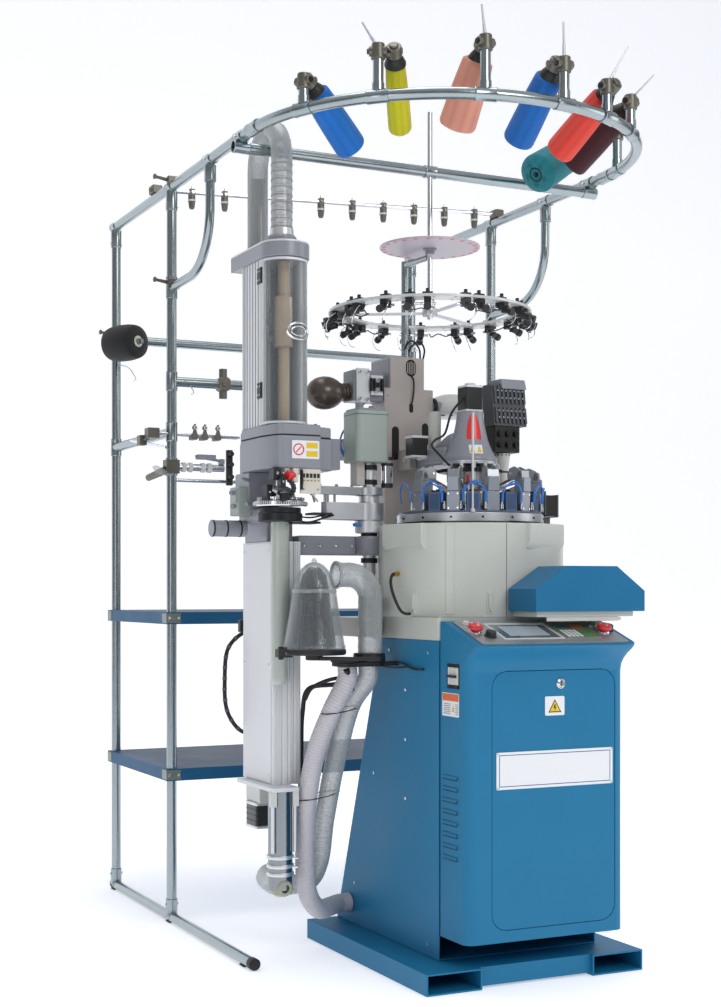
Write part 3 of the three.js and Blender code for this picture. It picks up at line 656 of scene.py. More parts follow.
def screw(at: Point, towards: Point, r: float = 3.0) -> Shape:
    """A cap screw with a socket.

    Args:
        at: Where its head meets the part.
        towards: A point straight out from the part.
        r: Head radius.

    Returns:
        The head, standing 0.7 r proud.
    """
    h = 0.7 * r
    return lathe([(0, -0.4), (r, -0.4), (r, h * 0.8), (r * 0.85, h), (r * 0.5, h), (r * 0.45, h * 0.3),
        (0, h * 0.3)], at, towards, sides=12)


def front_screw(x: float, y: float, z: float, r: float = 3.0) -> Shape:
    """Returns a cap screw that faces the operator."""
    return screw((x, y, z), (x, -FAR, z), r)


def top_screw(x: float, y: float, z: float, r: float = 3.0) -> Shape:
    """Returns a cap screw that faces up."""
    return screw((x, y, z), (x, y, FAR), r)


def post(x: float, y: float, z0: float, z1: float, r: float, r_end: float | None = None,
        sides: int = 16) -> Shape:
    """Returns an upright rod at x and y between two heights."""
    return rod((x, y, z0), (x, y, z1), r, r_end, sides)


def hoop(r0: float, r1: float, z0: float, z1: float, at: Point = (0, 0, 0), towards: Point | None = None,
        sides: int = 48, arc: tuple[float, float] | None = None) -> Shape:
    """A ring of rectangular section: a hoop, collar, washer or tube wall.

    Args:
        r0: Inner radius.
        r1: Outer radius.
        z0: One end, along the axis.
        z1: The other end.
        at: Foot of the axis.
        towards: A point on the axis; straight up if left out.
        sides: Points round it.
        arc: First and last angle in degrees, for a part turn.

    Returns:
        The ring.
    """
    return lathe([(r0, z0), (r1, z0), (r1, z1), (r0, z1)], at, towards, sides, True, arc)


def copies(shape: Shape, degrees: Iterable[float], at: Point = (0, 0)) -> list[Shape]:
    """Returns the shape turned about the vertical by each angle, then shifted to at."""
    return [shape.about_z(a).moved(*at) for a in degrees]


# ---------------------------------------------------------------- placing pieces


def dress(obj: bpy.types.Object, finish: Finish, body: str, bevel: float, segments: int) -> bpy.types.Object:
    """Gives a piece its finish, soft edges and the body that it moves with.

    Args:
        obj: The piece.
        finish: Its finish.
        body: Body that it rides on.
        bevel: Width of its rounded edges, millimetres; 0 for none.
        segments: Steps across a rounded edge.

    Returns:
        The same piece.
    """
    obj.data.materials.clear()
    obj.data.materials.append(finish.material())
    if bevel:
        mod = obj.modifiers.new("soft_edges", "BEVEL")
        mod.width, mod.segments, mod.limit_method = bevel * MM, segments, "ANGLE"
        mod.angle_limit, mod.harden_normals = math.radians(32), True
    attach(obj, body)
    log.info("%s: %d faces, %s, rides on %s", obj.name, len(obj.data.polygons), finish.name, body)
    return obj


def place(name: str, shape: Shape | Iterable[Shape], finish: Finish, body: str = "machine",
        stands_for: Sequence[str] = (), bevel: float = 0.0, segments: int = 2,
        sharp: float = 38.0) -> bpy.types.Object:
    """Makes a piece from shapes and puts it on the machine.

    Args:
        name: The piece's name.
        shape: Its shape or shapes.
        finish: Its finish.
        body: Body that it rides on.
        stands_for: CAD nodes that it replaces.
        bevel: Width of its rounded edges, millimetres.
        segments: Steps across a rounded edge.
        sharp: Edges that turn by more degrees than this stay crisp.

    Returns:
        The new piece.
    """
    whole = shape if isinstance(shape, Shape) else merged(shape)
    mesh = bpy.data.meshes.new(name)
    mesh.from_pydata((whole.points * MM).tolist(), [], whole.faces)
    work = bmesh.new()
    work.from_mesh(mesh)
    bmesh.ops.remove_doubles(work, verts=work.verts, dist=2e-6)
    bmesh.ops.recalc_face_normals(work, faces=work.faces)
    work.to_mesh(mesh)
    work.free()
    mesh.shade_smooth()
    mesh.set_sharp_from_angle(angle=math.radians(sharp))
    obj = bpy.data.objects.new(name, mesh)
    bpy.context.scene.collection.objects.link(obj)
    dress(obj, finish, body, bevel, segments)
    if stands_for:
        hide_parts(*stands_for)
    return obj


def refine(node: str, finish: Finish, bevel: float = 1.5, segments: int = 2,
        sharp: float = 32.0) -> bpy.types.Object:
    """Stands a merged copy of a CAD node in its place, with soft edges and a real finish.

    Args:
        node: The CAD node.
        finish: Its finish.
        bevel: Width of its rounded edges, millimetres.
        segments: Steps across a rounded edge.
        sharp: Edges that turn by more degrees than this stay crisp.

    Returns:
        The new piece.
    """
    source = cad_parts[node]
    mesh = source.data.copy()
    mesh.name = f"{node}_finished"
    work = bmesh.new()
    work.from_mesh(mesh)
    bmesh.ops.remove_doubles(work, verts=work.verts, dist=5e-6)
    bmesh.ops.dissolve_limit(work, angle_limit=math.radians(0.8), verts=work.verts, edges=work.edges)
    work.to_mesh(mesh)
    work.free()
    mesh.shade_smooth()
    mesh.set_sharp_from_angle(angle=math.radians(sharp))
    obj = bpy.data.objects.new(f"{node}_finished", mesh)
    bpy.context.scene.collection.objects.link(obj)
    dress(obj, finish, BODY_OF.get(node, "machine"), bevel, segments)
    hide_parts(node)
    return obj


# ---------------------------------------------------------------- places shared by the parts

# Slope of the console, and Y and Z of the middle of its panel.
SLOPE = math.atan2(61, 179)
CONSOLE = (-386.5, 935.5)
# X and Y of the linking dial's axis, the transfer arm's shaft, the tension ring's hub and the tower.
AXIS = (-560.0, 85.0)
PIVOT = (-269.0, 116.0)
HUB = (-42.0, 168.0)
TOWER = (-547.0, 88.0)
# The lock's middle on the door, and a point straight before it.
LOCK, LOCK_FRONT = (41, -415.2, 801), (41, -500, 801)
# The body that each moving CAD node rides on.
BODY_OF = {"cabinet_door": "door", "door_lock": "lock", "estop_left": "estop_left_knob",
    "estop_right": "estop_right_knob", "reset_button": "reset_key", "start_button": "start_key",
    "breaker_lever": "breaker_switch", "needle_cylinder": "cylinder", "dial_head": "head",
    "dial_motor": "head", "dial_plate": "dial", "swing_arm": "transfer_arm", "link_dial": "linking_dial",
    "link_cover": "tower_door", "link_carriage": "carriage", "cup_lever": "clamp_lever"}


# ---------------------------------------------------------------- cabinet and console


@dataclass
class Cabinet:
    """Base runners, sheet cabinet, front fairing with its door, and the bed on top.

    Attributes:
        door: Left, right, bottom and top of the door.
        corner: Door corner radius.
        face: Y of the door's outer face.
        flank: X of the fairing's left side.
    """

    door: tuple[float, float, float, float] = (-170, 215, 157, 836)
    corner: float = 45
    face: float = -415
    flank: float = -247

    def build(self) -> None:
        """Makes the coated sheet parts, then the door, slots, labels and fixings."""
        refine("base_frame", CABINET_BLUE, 1.6)
        refine("cabinet_shell", CABINET_BLUE, 2.0)
        refine("front_fairing", CABINET_BLUE, 1.0, 2, 24)
        refine("bed_plate", OFF_WHITE, 4.0, 3)
        self._door()
        self._louvres()
        self._labels()
        self._breaker()
        self._fixings()

    def _door(self) -> None:
        """Makes the door with its soft edge, the painted shadow in the gap round it, and the lock with painted
        shade in its keyhole.
        """
        x0, x1, z0, z1 = self.door
        place("cabinet_door_panel", plate(rounded(x0, x1, z0, z1, self.corner, 12), self.face, self.face + 3.6,
            "xzy"), CABINET_BLUE, "door", ["cabinet_door"], 1.4, 3)
        place("door_gap_shadow", plate(rounded(x0 - 1.4, x1 + 1.4, z0 - 1.4, z1 + 1.4, self.corner + 1, 12),
            -411.2, -409.6, "xzy"), HOLLOW)
        place("door_lock_barrel",
            [lathe([(0, 0), (14, 0), (14, 2.2), (12.4, 3.4), (11, 3.4), (10.4, 1.8), (0, 1.8)], LOCK,
                LOCK_FRONT), lathe([(0, 1), (8.6, 1), (8.6, 4.4), (7.6, 5.4), (0, 5.4)], LOCK, LOCK_FRONT)],
            CHROME, "lock", ["door_lock"], 0.3)
        # Black plate in the keyhole: painted shade.
        place("door_lock_slot_shade", plate(rounded(39.9, 42.1, 795, 807, 1), -420.9, -420.2, "xzy"), HOLLOW, "lock")

    def _louvres(self) -> None:
        """Makes eight pressed louvres: half-round hoods that open downwards, with a black strip of painted
        shade in the slot below each.
        """
        hoods, slots = [], []
        for z in np.linspace(340, 552, 8):
            t = np.linspace(0, math.pi / 2, 7)
            section = np.vstack([np.column_stack([z + 9 * np.cos(t), self.flank - 4.4 * np.sin(t)]),
                [[z, self.flank + 0.4]]])
            hoods.append(plate(section[:, ::-1], -368, -289, "xzy"))
            # Black strip of painted shade in the opening under the hood.
            slots.append(block(self.flank - 3.2, self.flank - 0.2, -365, -292, z - 2.6, z + 0.2))
        place("louvre_hoods", hoods, CABINET_BLUE, bevel=0.8)
        place("louvre_slot_shade", slots, HOLLOW)

    def _labels(self) -> None:
        """Makes the blank nameplate and two generic foil labels with plain shapes."""
        plate_at = self.face - 0.3
        place("door_nameplate", plate(rounded(-158, 207, 526, 624, 3), plate_at, plate_at - 1.6, "xzy"),
            WHITE_FOIL, "door", bevel=0.4)
        frame_line = [((-150, 197), (533, 535)), ((-150, 197), (615, 617)), ((-150, -148), (533, 617)),
            ((197, 199), (533, 617))]
        place("nameplate_border", [block(x[0], x[1], plate_at - 1.9, plate_at - 1.5, z[0], z[1])
            for x, z in frame_line], BLUE_INK, "door")
        place("nameplate_rivets", [front_screw(x, plate_at - 1.5, z, 2.4) for x in (-153.5, 202.5)
            for z in (530, 620)], ALUMINIUM, "door")
        place("door_label_card", plate(rounded(-8, 53, 716, 767, 4), plate_at, plate_at - 0.5, "xzy"),
            WHITE_FOIL, "door")
        place("door_label_triangle", plate([(2, 724), (43, 724), (22.5, 759)], plate_at - 0.4, plate_at - 0.9,
            "xzy"), HOLLOW, "door")
        place("door_label_field", plate([(6, 726.6), (39, 726.6), (22.5, 754.6)], plate_at - 0.8,
            plate_at - 1.1, "xzy"), YELLOW_FOIL, "door")
        place("door_label_mark",
            plate([(21, 745), (25, 745), (23, 738), (27, 738), (21, 729), (22, 736), (18, 736)],
                plate_at - 1.0, plate_at - 1.3, "xzy"), HOLLOW, "door")
        x = self.flank - 0.2
        place("side_label_card", plate(rounded(-376, -285, 716, 778, 2), x, x - 0.5, "yzx"), WHITE_FOIL)
        place("side_label_band", plate(rounded(-374, -287, 757, 776, 1), x - 0.4, x - 0.8, "yzx"), ORANGE_FOIL)
        place("side_label_mark", plate([(-352, 729), (-338, 729), (-345, 750)], x - 0.4, x - 0.8, "yzx"),
            YELLOW_FOIL)
        bars = [block(x - 0.8, x - 0.4, -372, -358 + 3 * (n % 2), 723 + 5 * n, 724.4 + 5 * n) for n in range(6)]
        bars += [block(x - 0.8, x - 0.4, -330, -292 - 4 * (n % 2), 723 + 5 * n, 724.4 + 5 * n)
            for n in range(6)]
        place("side_label_lines", bars, DARK_GREY)

    def _breaker(self) -> None:
        """Makes the breaker: its moulded body, a black block of painted shade in its recess, toggle and clips,
        set into the flank.
        """
        refine("breaker_body", LIGHT_GREY, 0.8)
        # Black block at the back of the recess: painted shade.
        place("breaker_recess_shade", block(-246.2, -244.4, -376, -314, 790, 856), HOLLOW)
        place("breaker_modules", [block(-249.4, -243.4, y, y + 17, 800, 846) for y in (-371, -353, -335)],
            LIGHT_GREY, bevel=1.0)
        place("breaker_terminals", [block(-250, -243.6, y + 3, y + 14, 793, 801) for y in (-371, -353, -335)],
            BLACK, bevel=0.6)
        place("breaker_toggle", [rod((-237, -368, 823), (-237, -320, 823), 6.6),
            block(-257, -238, -366, -322, 819, 826)], BLACK, "breaker_switch", ["breaker_lever"], 1.6)

    def _fixings(self) -> None:
        """Adds the screws in the sides and in the bed."""
        side = [(-80, 772), (-80, 634), (-80, 470), (-210, 880), (20, 880), (250, 180), (-210, 90), (120, 520)]
        place("side_screws", [screw((s * 250.1, y, z), (s * FAR, y, z), 4.4) for y, z in side
            for s in (-1, 1)], CHROME)
        place("bed_screws", [top_screw(x, y, 975, 5) for x in (-232, 232) for y in (-245, 150)], GROUND_STEEL)


@dataclass
class Console:
    """The sloping panel: display, keypad, stop knobs and push buttons.

    Attributes:
        stops: Left and right stop knobs, in console axes.
        pushes: Left and right push buttons, in console axes.
    """

    stops: tuple = (("estop_left", -206, 2), ("estop_right", 190, -10))
    pushes: tuple = (("reset_button", -198, 66, CREAM), ("start_button", 190, 46, GREEN))

    def build(self) -> None:
        """Makes the panel plate, then what is set in it."""
        refine("control_panel", PANEL, 0.5)
        self._display()
        self._keypad()
        self._knobs()

    def _display(self) -> None:
        """Makes the display: bezel, glass and lit field left plain."""
        place("display_body", plate(rounded(-139.5, 35.5, -48.5, 59.5, 4), -16, 1.5).on_console(), DARK_GREY,
            stands_for=["display_screen"], bevel=0.6)
        ring = [plate(o, 1.2, 4.6).on_console() for o in ([(-146, -55), (42, -55), (42, -47), (-146, -47)],
            [(-146, 58), (42, 58), (42, 66), (-146, 66)], [(-146, -50), (-138, -50), (-138, 60), (-146, 60)],
            [(34, -50), (42, -50), (42, 60), (34, 60)])]
        place("display_bezel", ring, LIGHT_GREY, bevel=1.2)
        place("display_glass", plate(rounded(-138, 34, -47, 58, 3), 1.6, 2.4).on_console(), SCREEN)
        place("display_field", plate(rounded(-112, 12, -26, 46, 2), 2.3, 2.7).on_console(), SCREEN_LIT)

    def _keypad(self) -> None:
        """Makes the foil keypad: a field of small domed keys in three colours."""
        def keys(columns: range, rows: range, size: float) -> list[Shape]:
            """Returns a block of keys on the pad's grid."""
            return [plate(rounded(57 + 13.2 * i, 57 + 13.2 * i + size, -44 + 13.2 * j, -44 + 13.2 * j + size,
                2, 3), 4.6, 6.0).on_console() for i in columns for j in rows]
        place("keypad_foil", plate(rounded(50, 158, -50, 60, 4), 4.7, 5.1).on_console(), KEY_FOIL)
        place("keypad_white_keys", keys(range(0, 4), range(0, 4), 10.2), WHITE_FOIL, bevel=0.6)
        place("keypad_green_keys", keys(range(5, 7), range(0, 3), 10.2), GREEN, bevel=0.6)
        place("keypad_orange_keys", keys(range(4, 7), range(5, 7), 9.0), ORANGE_FOIL, bevel=0.6)
        place("keypad_blue_keys", keys(range(0, 4), range(5, 7), 9.0), BLUE_INK, bevel=0.6)

    def _knobs(self) -> None:
        """Makes the mushroom stop knobs on clear collars, the push buttons and the side selectors."""
        cap = [(0, -14), (8, -14), (8, 11), (13, 12), (18.6, 13.2), (20, 15), (20, 21), (18.4, 25), (13, 27.4),
            (0, 28)]
        collar = [(10, 3.2), (17, 3.2), (17.6, 6), (14.6, 9), (12.4, 11.6), (10, 11.6)]
        for name, x, y in self.stops:
            place(f"{name}_cap", lathe(cap, (x, y, 0)).on_console(), RED, f"{name}_knob", [name], 0.5)
            place(f"{name}_collar", lathe(collar, (x, y, 0), loop=True).on_console(), CHROME)
            place(f"{name}_arrows",
                [plate([(r * math.cos(a), r * math.sin(a)) for r, a in ((9, q), (15, q + 0.5), (12, q + 0.9))],
                    27.0, 27.9).moved(x, y).on_console() for q in (0.0, 2.09, 4.19)], WHITE_FOIL,
                f"{name}_knob")
        for name, x, y, finish in self.pushes:
            body = {"reset_button": "reset_key", "start_button": "start_key"}[name]
            place(f"{name}_cap", lathe([(0, -10), (8.6, -10), (8.6, 9), (7.6, 10.5), (0, 10.2)],
                (x, y, 0)).on_console(), finish, body, [name], 0.4)
            place(f"{name}_collar", lathe([(9.6, 3.2), (14.4, 3.2), (14.4, 6), (12.6, 7.6), (9.6, 7.6)],
                (x, y, 0), loop=True).on_console(), CHROME)
        knob = [(0, 3.2), (17, 3.2), (17, 5), (14.5, 6), (14, 17), (12.5, 19), (0, 19)]
        place("selector_knobs", [lathe(knob, (x, y, 0), sides=24).on_console()
            for x, y in ((-176, -30), (216, 8))], BLACK, bevel=0.6)


# ---------------------------------------------------------------- drum, cam ring and feeders


@dataclass
class Drum:
    """The drum cover with its boss pockets, and the ring plate that carries the feeders.

    Attributes:
        low: Height of the drum's foot.
        high: Height of its rim.
        radius: Outer radius.
        bosses: Directions of the three flats on its rim, degrees.
    """

    low: float = 975.3
    high: float = 1235
    radius: float = 268
    bosses: tuple[float, float, float] = (196, 293, 20)

    def build(self) -> None:
        """Makes the casting, its seams, latches and leads, then the plate on it."""
        self._casting()
        self._plate()
        self._fittings()

    def _casting(self) -> None:
        """Makes the drum as a lathe with a lip, and a chamfered flat for each boss."""
        skin = [(40, self.low), (self.radius, self.low), (self.radius, self.high - 3),
            (self.radius - 3, self.high), (64, self.high), (64, 1170), (40, 1170)]
        flats = []
        for angle in self.bosses:
            outline = [(150, 1163), (262, 1163), (273, 1178), (273, self.high), (150, self.high)]
            flats.append(plate(outline, -82, 82, "xzy").about_z(angle))
        place("drum_casting", lathe(skin, sides=128, loop=True), OFF_WHITE, stands_for=["drum_cover"],
            bevel=2.0, segments=3)
        place("drum_bosses", flats, OFF_WHITE, bevel=5.0, segments=3)
        bead = np.array([(self.radius - 2, self.low + 6), (self.radius + 2.2, self.low + 8),
            (self.radius + 2.2, self.high - 8), (self.radius - 2, self.high - 6)])
        place("drum_ridge", [lathe(bead, sides=6, loop=True, arc=(a, a + 5)) for a in (226, 128)], OFF_WHITE,
            bevel=1.6, segments=3)
        gaps = [hoop(self.radius - 1, self.radius + 0.35, self.low, self.high - 2, sides=2, arc=(a, a + 0.28))
            for a in (262, 82)]
        place("drum_seams", gaps, HOLLOW)

    def _plate(self) -> None:
        """Makes the turned ring plate, its dark running gap and its screws."""
        ring = [(62, 1235.3), (180, 1235.3), (180, 1240), (210, 1240), (212, 1242), (212, 1264), (210, 1266),
            (62, 1266)]
        place("ring_plate_turned", lathe(ring, sides=128, loop=True), ALU_FLAT, stands_for=["ring_plate"],
            bevel=0.8)
        place("ring_plate_shadow", hoop(150, 206, 1235.1, 1239.6, sides=96), HOLLOW)
        place("ring_plate_screws",
            [screw((212 * math.cos(a), 212 * math.sin(a), 1253), (400 * math.cos(a), 400 * math.sin(a), 1253),
                3.2) for a in np.radians(np.arange(10, 370, 24))], DARK_STEEL)

    def _fittings(self) -> None:
        """Adds the two side latches and the lead that leaves the left boss."""
        latch = copies(plate(rounded(-9, 9, 985, 1048, 4), self.radius - 2, self.radius + 2.6, "yzx"),
            (252, 205))
        keeper = copies(plate(rounded(-4, 4, 998, 1040, 3), self.radius + 2, self.radius + 7, "yzx"),
            (252, 205))
        place("drum_latches", latch + keeper, OFF_WHITE, bevel=1.2)
        place("latch_screws",
            [screw(((self.radius + 2.6) * math.cos(a), (self.radius + 2.6) * math.sin(a), 992),
                (900 * math.cos(a), 900 * math.sin(a), 992), 2.6) for a in np.radians((252, 205))], CHROME)
        lead = spline([(-276, -62, 1094), (-287, -70, 1093), (-300, -84, 1072), (-296, -98, 1030),
            (-276, -104, 990), (-262, -108, 984), (-252, -112, 985)], 40)
        place("drum_lead", pipe(lead, 4.2, sides=12), RUBBER)
        place("drum_lead_fitting", [rod((-262, -58, 1095), (-280, -64, 1094), 6.0),
            rod((-279, -63, 1094), (-285, -67, 1093.4), 4.9, sides=6)], BRASS, bevel=0.4)


@dataclass
class Feeders:
    """Needle cylinder, yarn feeders round it, their air lines, and the side motors.

    Attributes:
        angles: Direction of each feeder, degrees.
        needles: Needles in the cylinder.
    """

    angles: tuple = (195, 227, 259, 291, 323)
    needles: int = 84

    def build(self) -> None:
        """Makes the cylinder, one feeder of each kind turned to every place, and the motors."""
        self._cylinder()
        self._stations()
        self._arcs()
        self._fingers()
        self._motors()

    def _cylinder(self) -> None:
        """Makes the cylinder and the needles that stand round it."""
        wall = [(0, 1180), (50, 1180), (50, 1290), (54, 1294), (54, 1318), (50, 1328), (40, 1328), (40, 1310),
            (0, 1310)]
        place("cylinder_body", lathe(wall, sides=96), GROUND_STEEL, "cylinder", ["needle_cylinder"], 0.6)
        turns = np.arange(self.needles) * 360 / self.needles
        place("needles", copies(block(50.6, 54.8, -0.5, 0.5, 1240, 1331), turns), CHROME, "cylinder")

    def _around(self, shape: Shape, angles: Sequence[float] | None = None) -> list[Shape]:
        """Returns the shape turned to each feeder's place."""
        return copies(shape, angles or self.angles)

    def _stations(self) -> None:
        """Makes the selector boxes, feeder boxes, towers, forked heads, rollers and cams."""
        base = hoop(150, 207, 1266.3, 1272, sides=96)
        between = [a + 16 for a in self.angles]
        place("selector_boxes", [base, *self._around(block(164, 204, -19, 19, 1270, 1324), between)], SLATE,
            stands_for=["feeder_ring"], bevel=1.6)
        place("feeder_boxes", self._around(block(162, 204, -19, 19, 1270, 1326)), FEEDER_ALLOY, bevel=1.6)
        faces = [block(203.6, 204.8, -14, 14, 1277, 1318), block(168, 200, 18.6, 19.8, 1278, 1318),
            block(168, 200, -19.8, -18.6, 1278, 1318)]
        place("box_covers", self._around(merged(faces), between), COVER_BLUE, bevel=0.5)
        latches = [post(184, 0, 1323, 1332, 5), post(172, 10, 1323, 1329, 3),
            block(190, 202, -12, -2, 1323, 1329)]
        place("box_latches", self._around(merged(latches), between), DARK_STEEL, bevel=0.6)
        tower = plate([(-17, 1326), (17, 1326), (15, 1366), (-15, 1366)], 174, 208, "yzx")
        place("feeder_towers", self._around(tower), FEEDER_ALLOY, bevel=1.4)
        cheek = [(150, 1362), (196, 1362), (200, 1374), (192, 1390), (172, 1399), (156, 1393), (149, 1378)]
        fork = [plate(cheek, y, y + 6, "xzy") for y in (-17, 11)]
        fork += [plate([(176, 1358), (204, 1358), (200, 1386), (188, 1386)], -17, 17, "xzy")]
        place("feeder_forks", self._around(merged(fork)), FORK_ALLOY, bevel=1.2)
        blades = [lathe([(3, -2.1), (10.5, -2.1), (12, -1), (12, 1), (10.5, 2.1), (3, 2.1)], (162, y, 1379),
            (162, y + 9, 1379), 24, True) for y in (-7, 0, 7)]
        place("feeder_rollers", self._around(merged([*blades, rod((162, -19, 1379), (162, 19, 1379), 3.2)])),
            CHROME)
        fittings = [post(206, y, 1275, z, q) for y in (-24, 24) for z, q in ((1288, 4.4), (1297, 3))]
        fittings += [screw((204, y, z), (900, y, z), 2.6) for y in (-13, 13) for z in (1278, 1318)]
        place("feeder_fittings", self._around(merged(fittings)), CHROME)
        tips = [rod((158, y, 1366), (74, y * 0.4, 1338), 2.6, 1.4) for y in (-7, 0, 7)]
        place("yarn_fingers", self._around(merged(tips)), CHROME)
        plates = [plate([(84, 1300), (150, 1296), (158, 1330), (150, 1348), (96, 1330)], -2, 2,
            "xzy").about_z(12)]
        place("stitch_cams", self._around(merged(plates)), GROUND_STEEL, bevel=0.4)
        place("cam_blocks", self._around(block(92, 150, -14, 14, 1266.3, 1296).about_z(15)), DARK_STEEL,
            bevel=1.4)

    def _arcs(self) -> None:
        """Makes the blue air lines that rise beside each feeder box and drop to the plate."""
        lines = []
        for k, a in enumerate(self.angles):
            for lean, top in ((-26, 1352), (26, 1346)):
                foot = np.array([(209, 0, 1296), (212, 0, 1330), (216, 0, top), (214, 0, 1330),
                    (209, 0, 1294)], float)
                sweep = np.radians(a + lean * np.array([0.28, 0.30, 0.56, 0.86, 0.90]) * (1.0 + 0.1 * (k % 2)))
                knots = np.column_stack([foot[:, 0] * np.cos(sweep), foot[:, 0] * np.sin(sweep), foot[:, 2]])
                lines.append(pipe(spline(knots, 36), 2.3, sides=10))
        place("air_lines", lines, AIR_BLUE)

    def _fingers(self) -> None:
        """Makes the cutter ring and clamp fingers above the needles, and the thin guide rod in front."""
        teeth = copies(plate([(88, 0), (95, 1.6), (95, 4.4)], 1390, 1396), np.arange(0, 360, 6))
        ring = hoop(70, 89, 1388, 1398, sides=72)
        place("cutter_ring", [ring, *teeth], DARK_STEEL, "head")
        hangers = copies(block(60, 86, -5, 5, 1352, 1412), np.arange(200, 380, 24))
        place("clamp_fingers", hangers, GROUND_STEEL, "head", bevel=1.0)
        colour = copies(block(86, 92, -4, 4, 1356, 1378), (236, 300))
        place("clamp_pads", colour, RED, "head", bevel=0.8)
        place("front_guide_rod", [post(-96, -184, 1266, 1540, 3.6), post(-96, -184, 1266, 1276, 7)],
            GROUND_STEEL)

    def _motors(self) -> None:
        """Makes the selector motors on the right: dark laminated stacks between end caps."""
        place("side_motor_stacks", [block(225, 262, 32, 92, 1235.8, 1276), block(230, 270, 19, 97, 1276, 1343),
            block(272, 318, 26, 90, 1270, 1334)], MOTOR_BLACK, stands_for=["selector_motors"], bevel=2.0)
        place("side_motor_caps",
            [block(228, 233, 17.6, 98.4, 1274.6, 1345), block(267, 272, 17.6, 98.4, 1274.6, 1345),
                block(314, 320, 24, 92, 1268, 1336), block(262, 300, 40, 84, 1236, 1268)], DARK_GREY, bevel=1.6)
        place("side_motor_pins", [post(x, y, 1236, 1262, 3.4) for x in (232, 244, 256) for y in (30, 26)],
            GROUND_STEEL)


# ---------------------------------------------------------------- dial head, column and what hangs on it


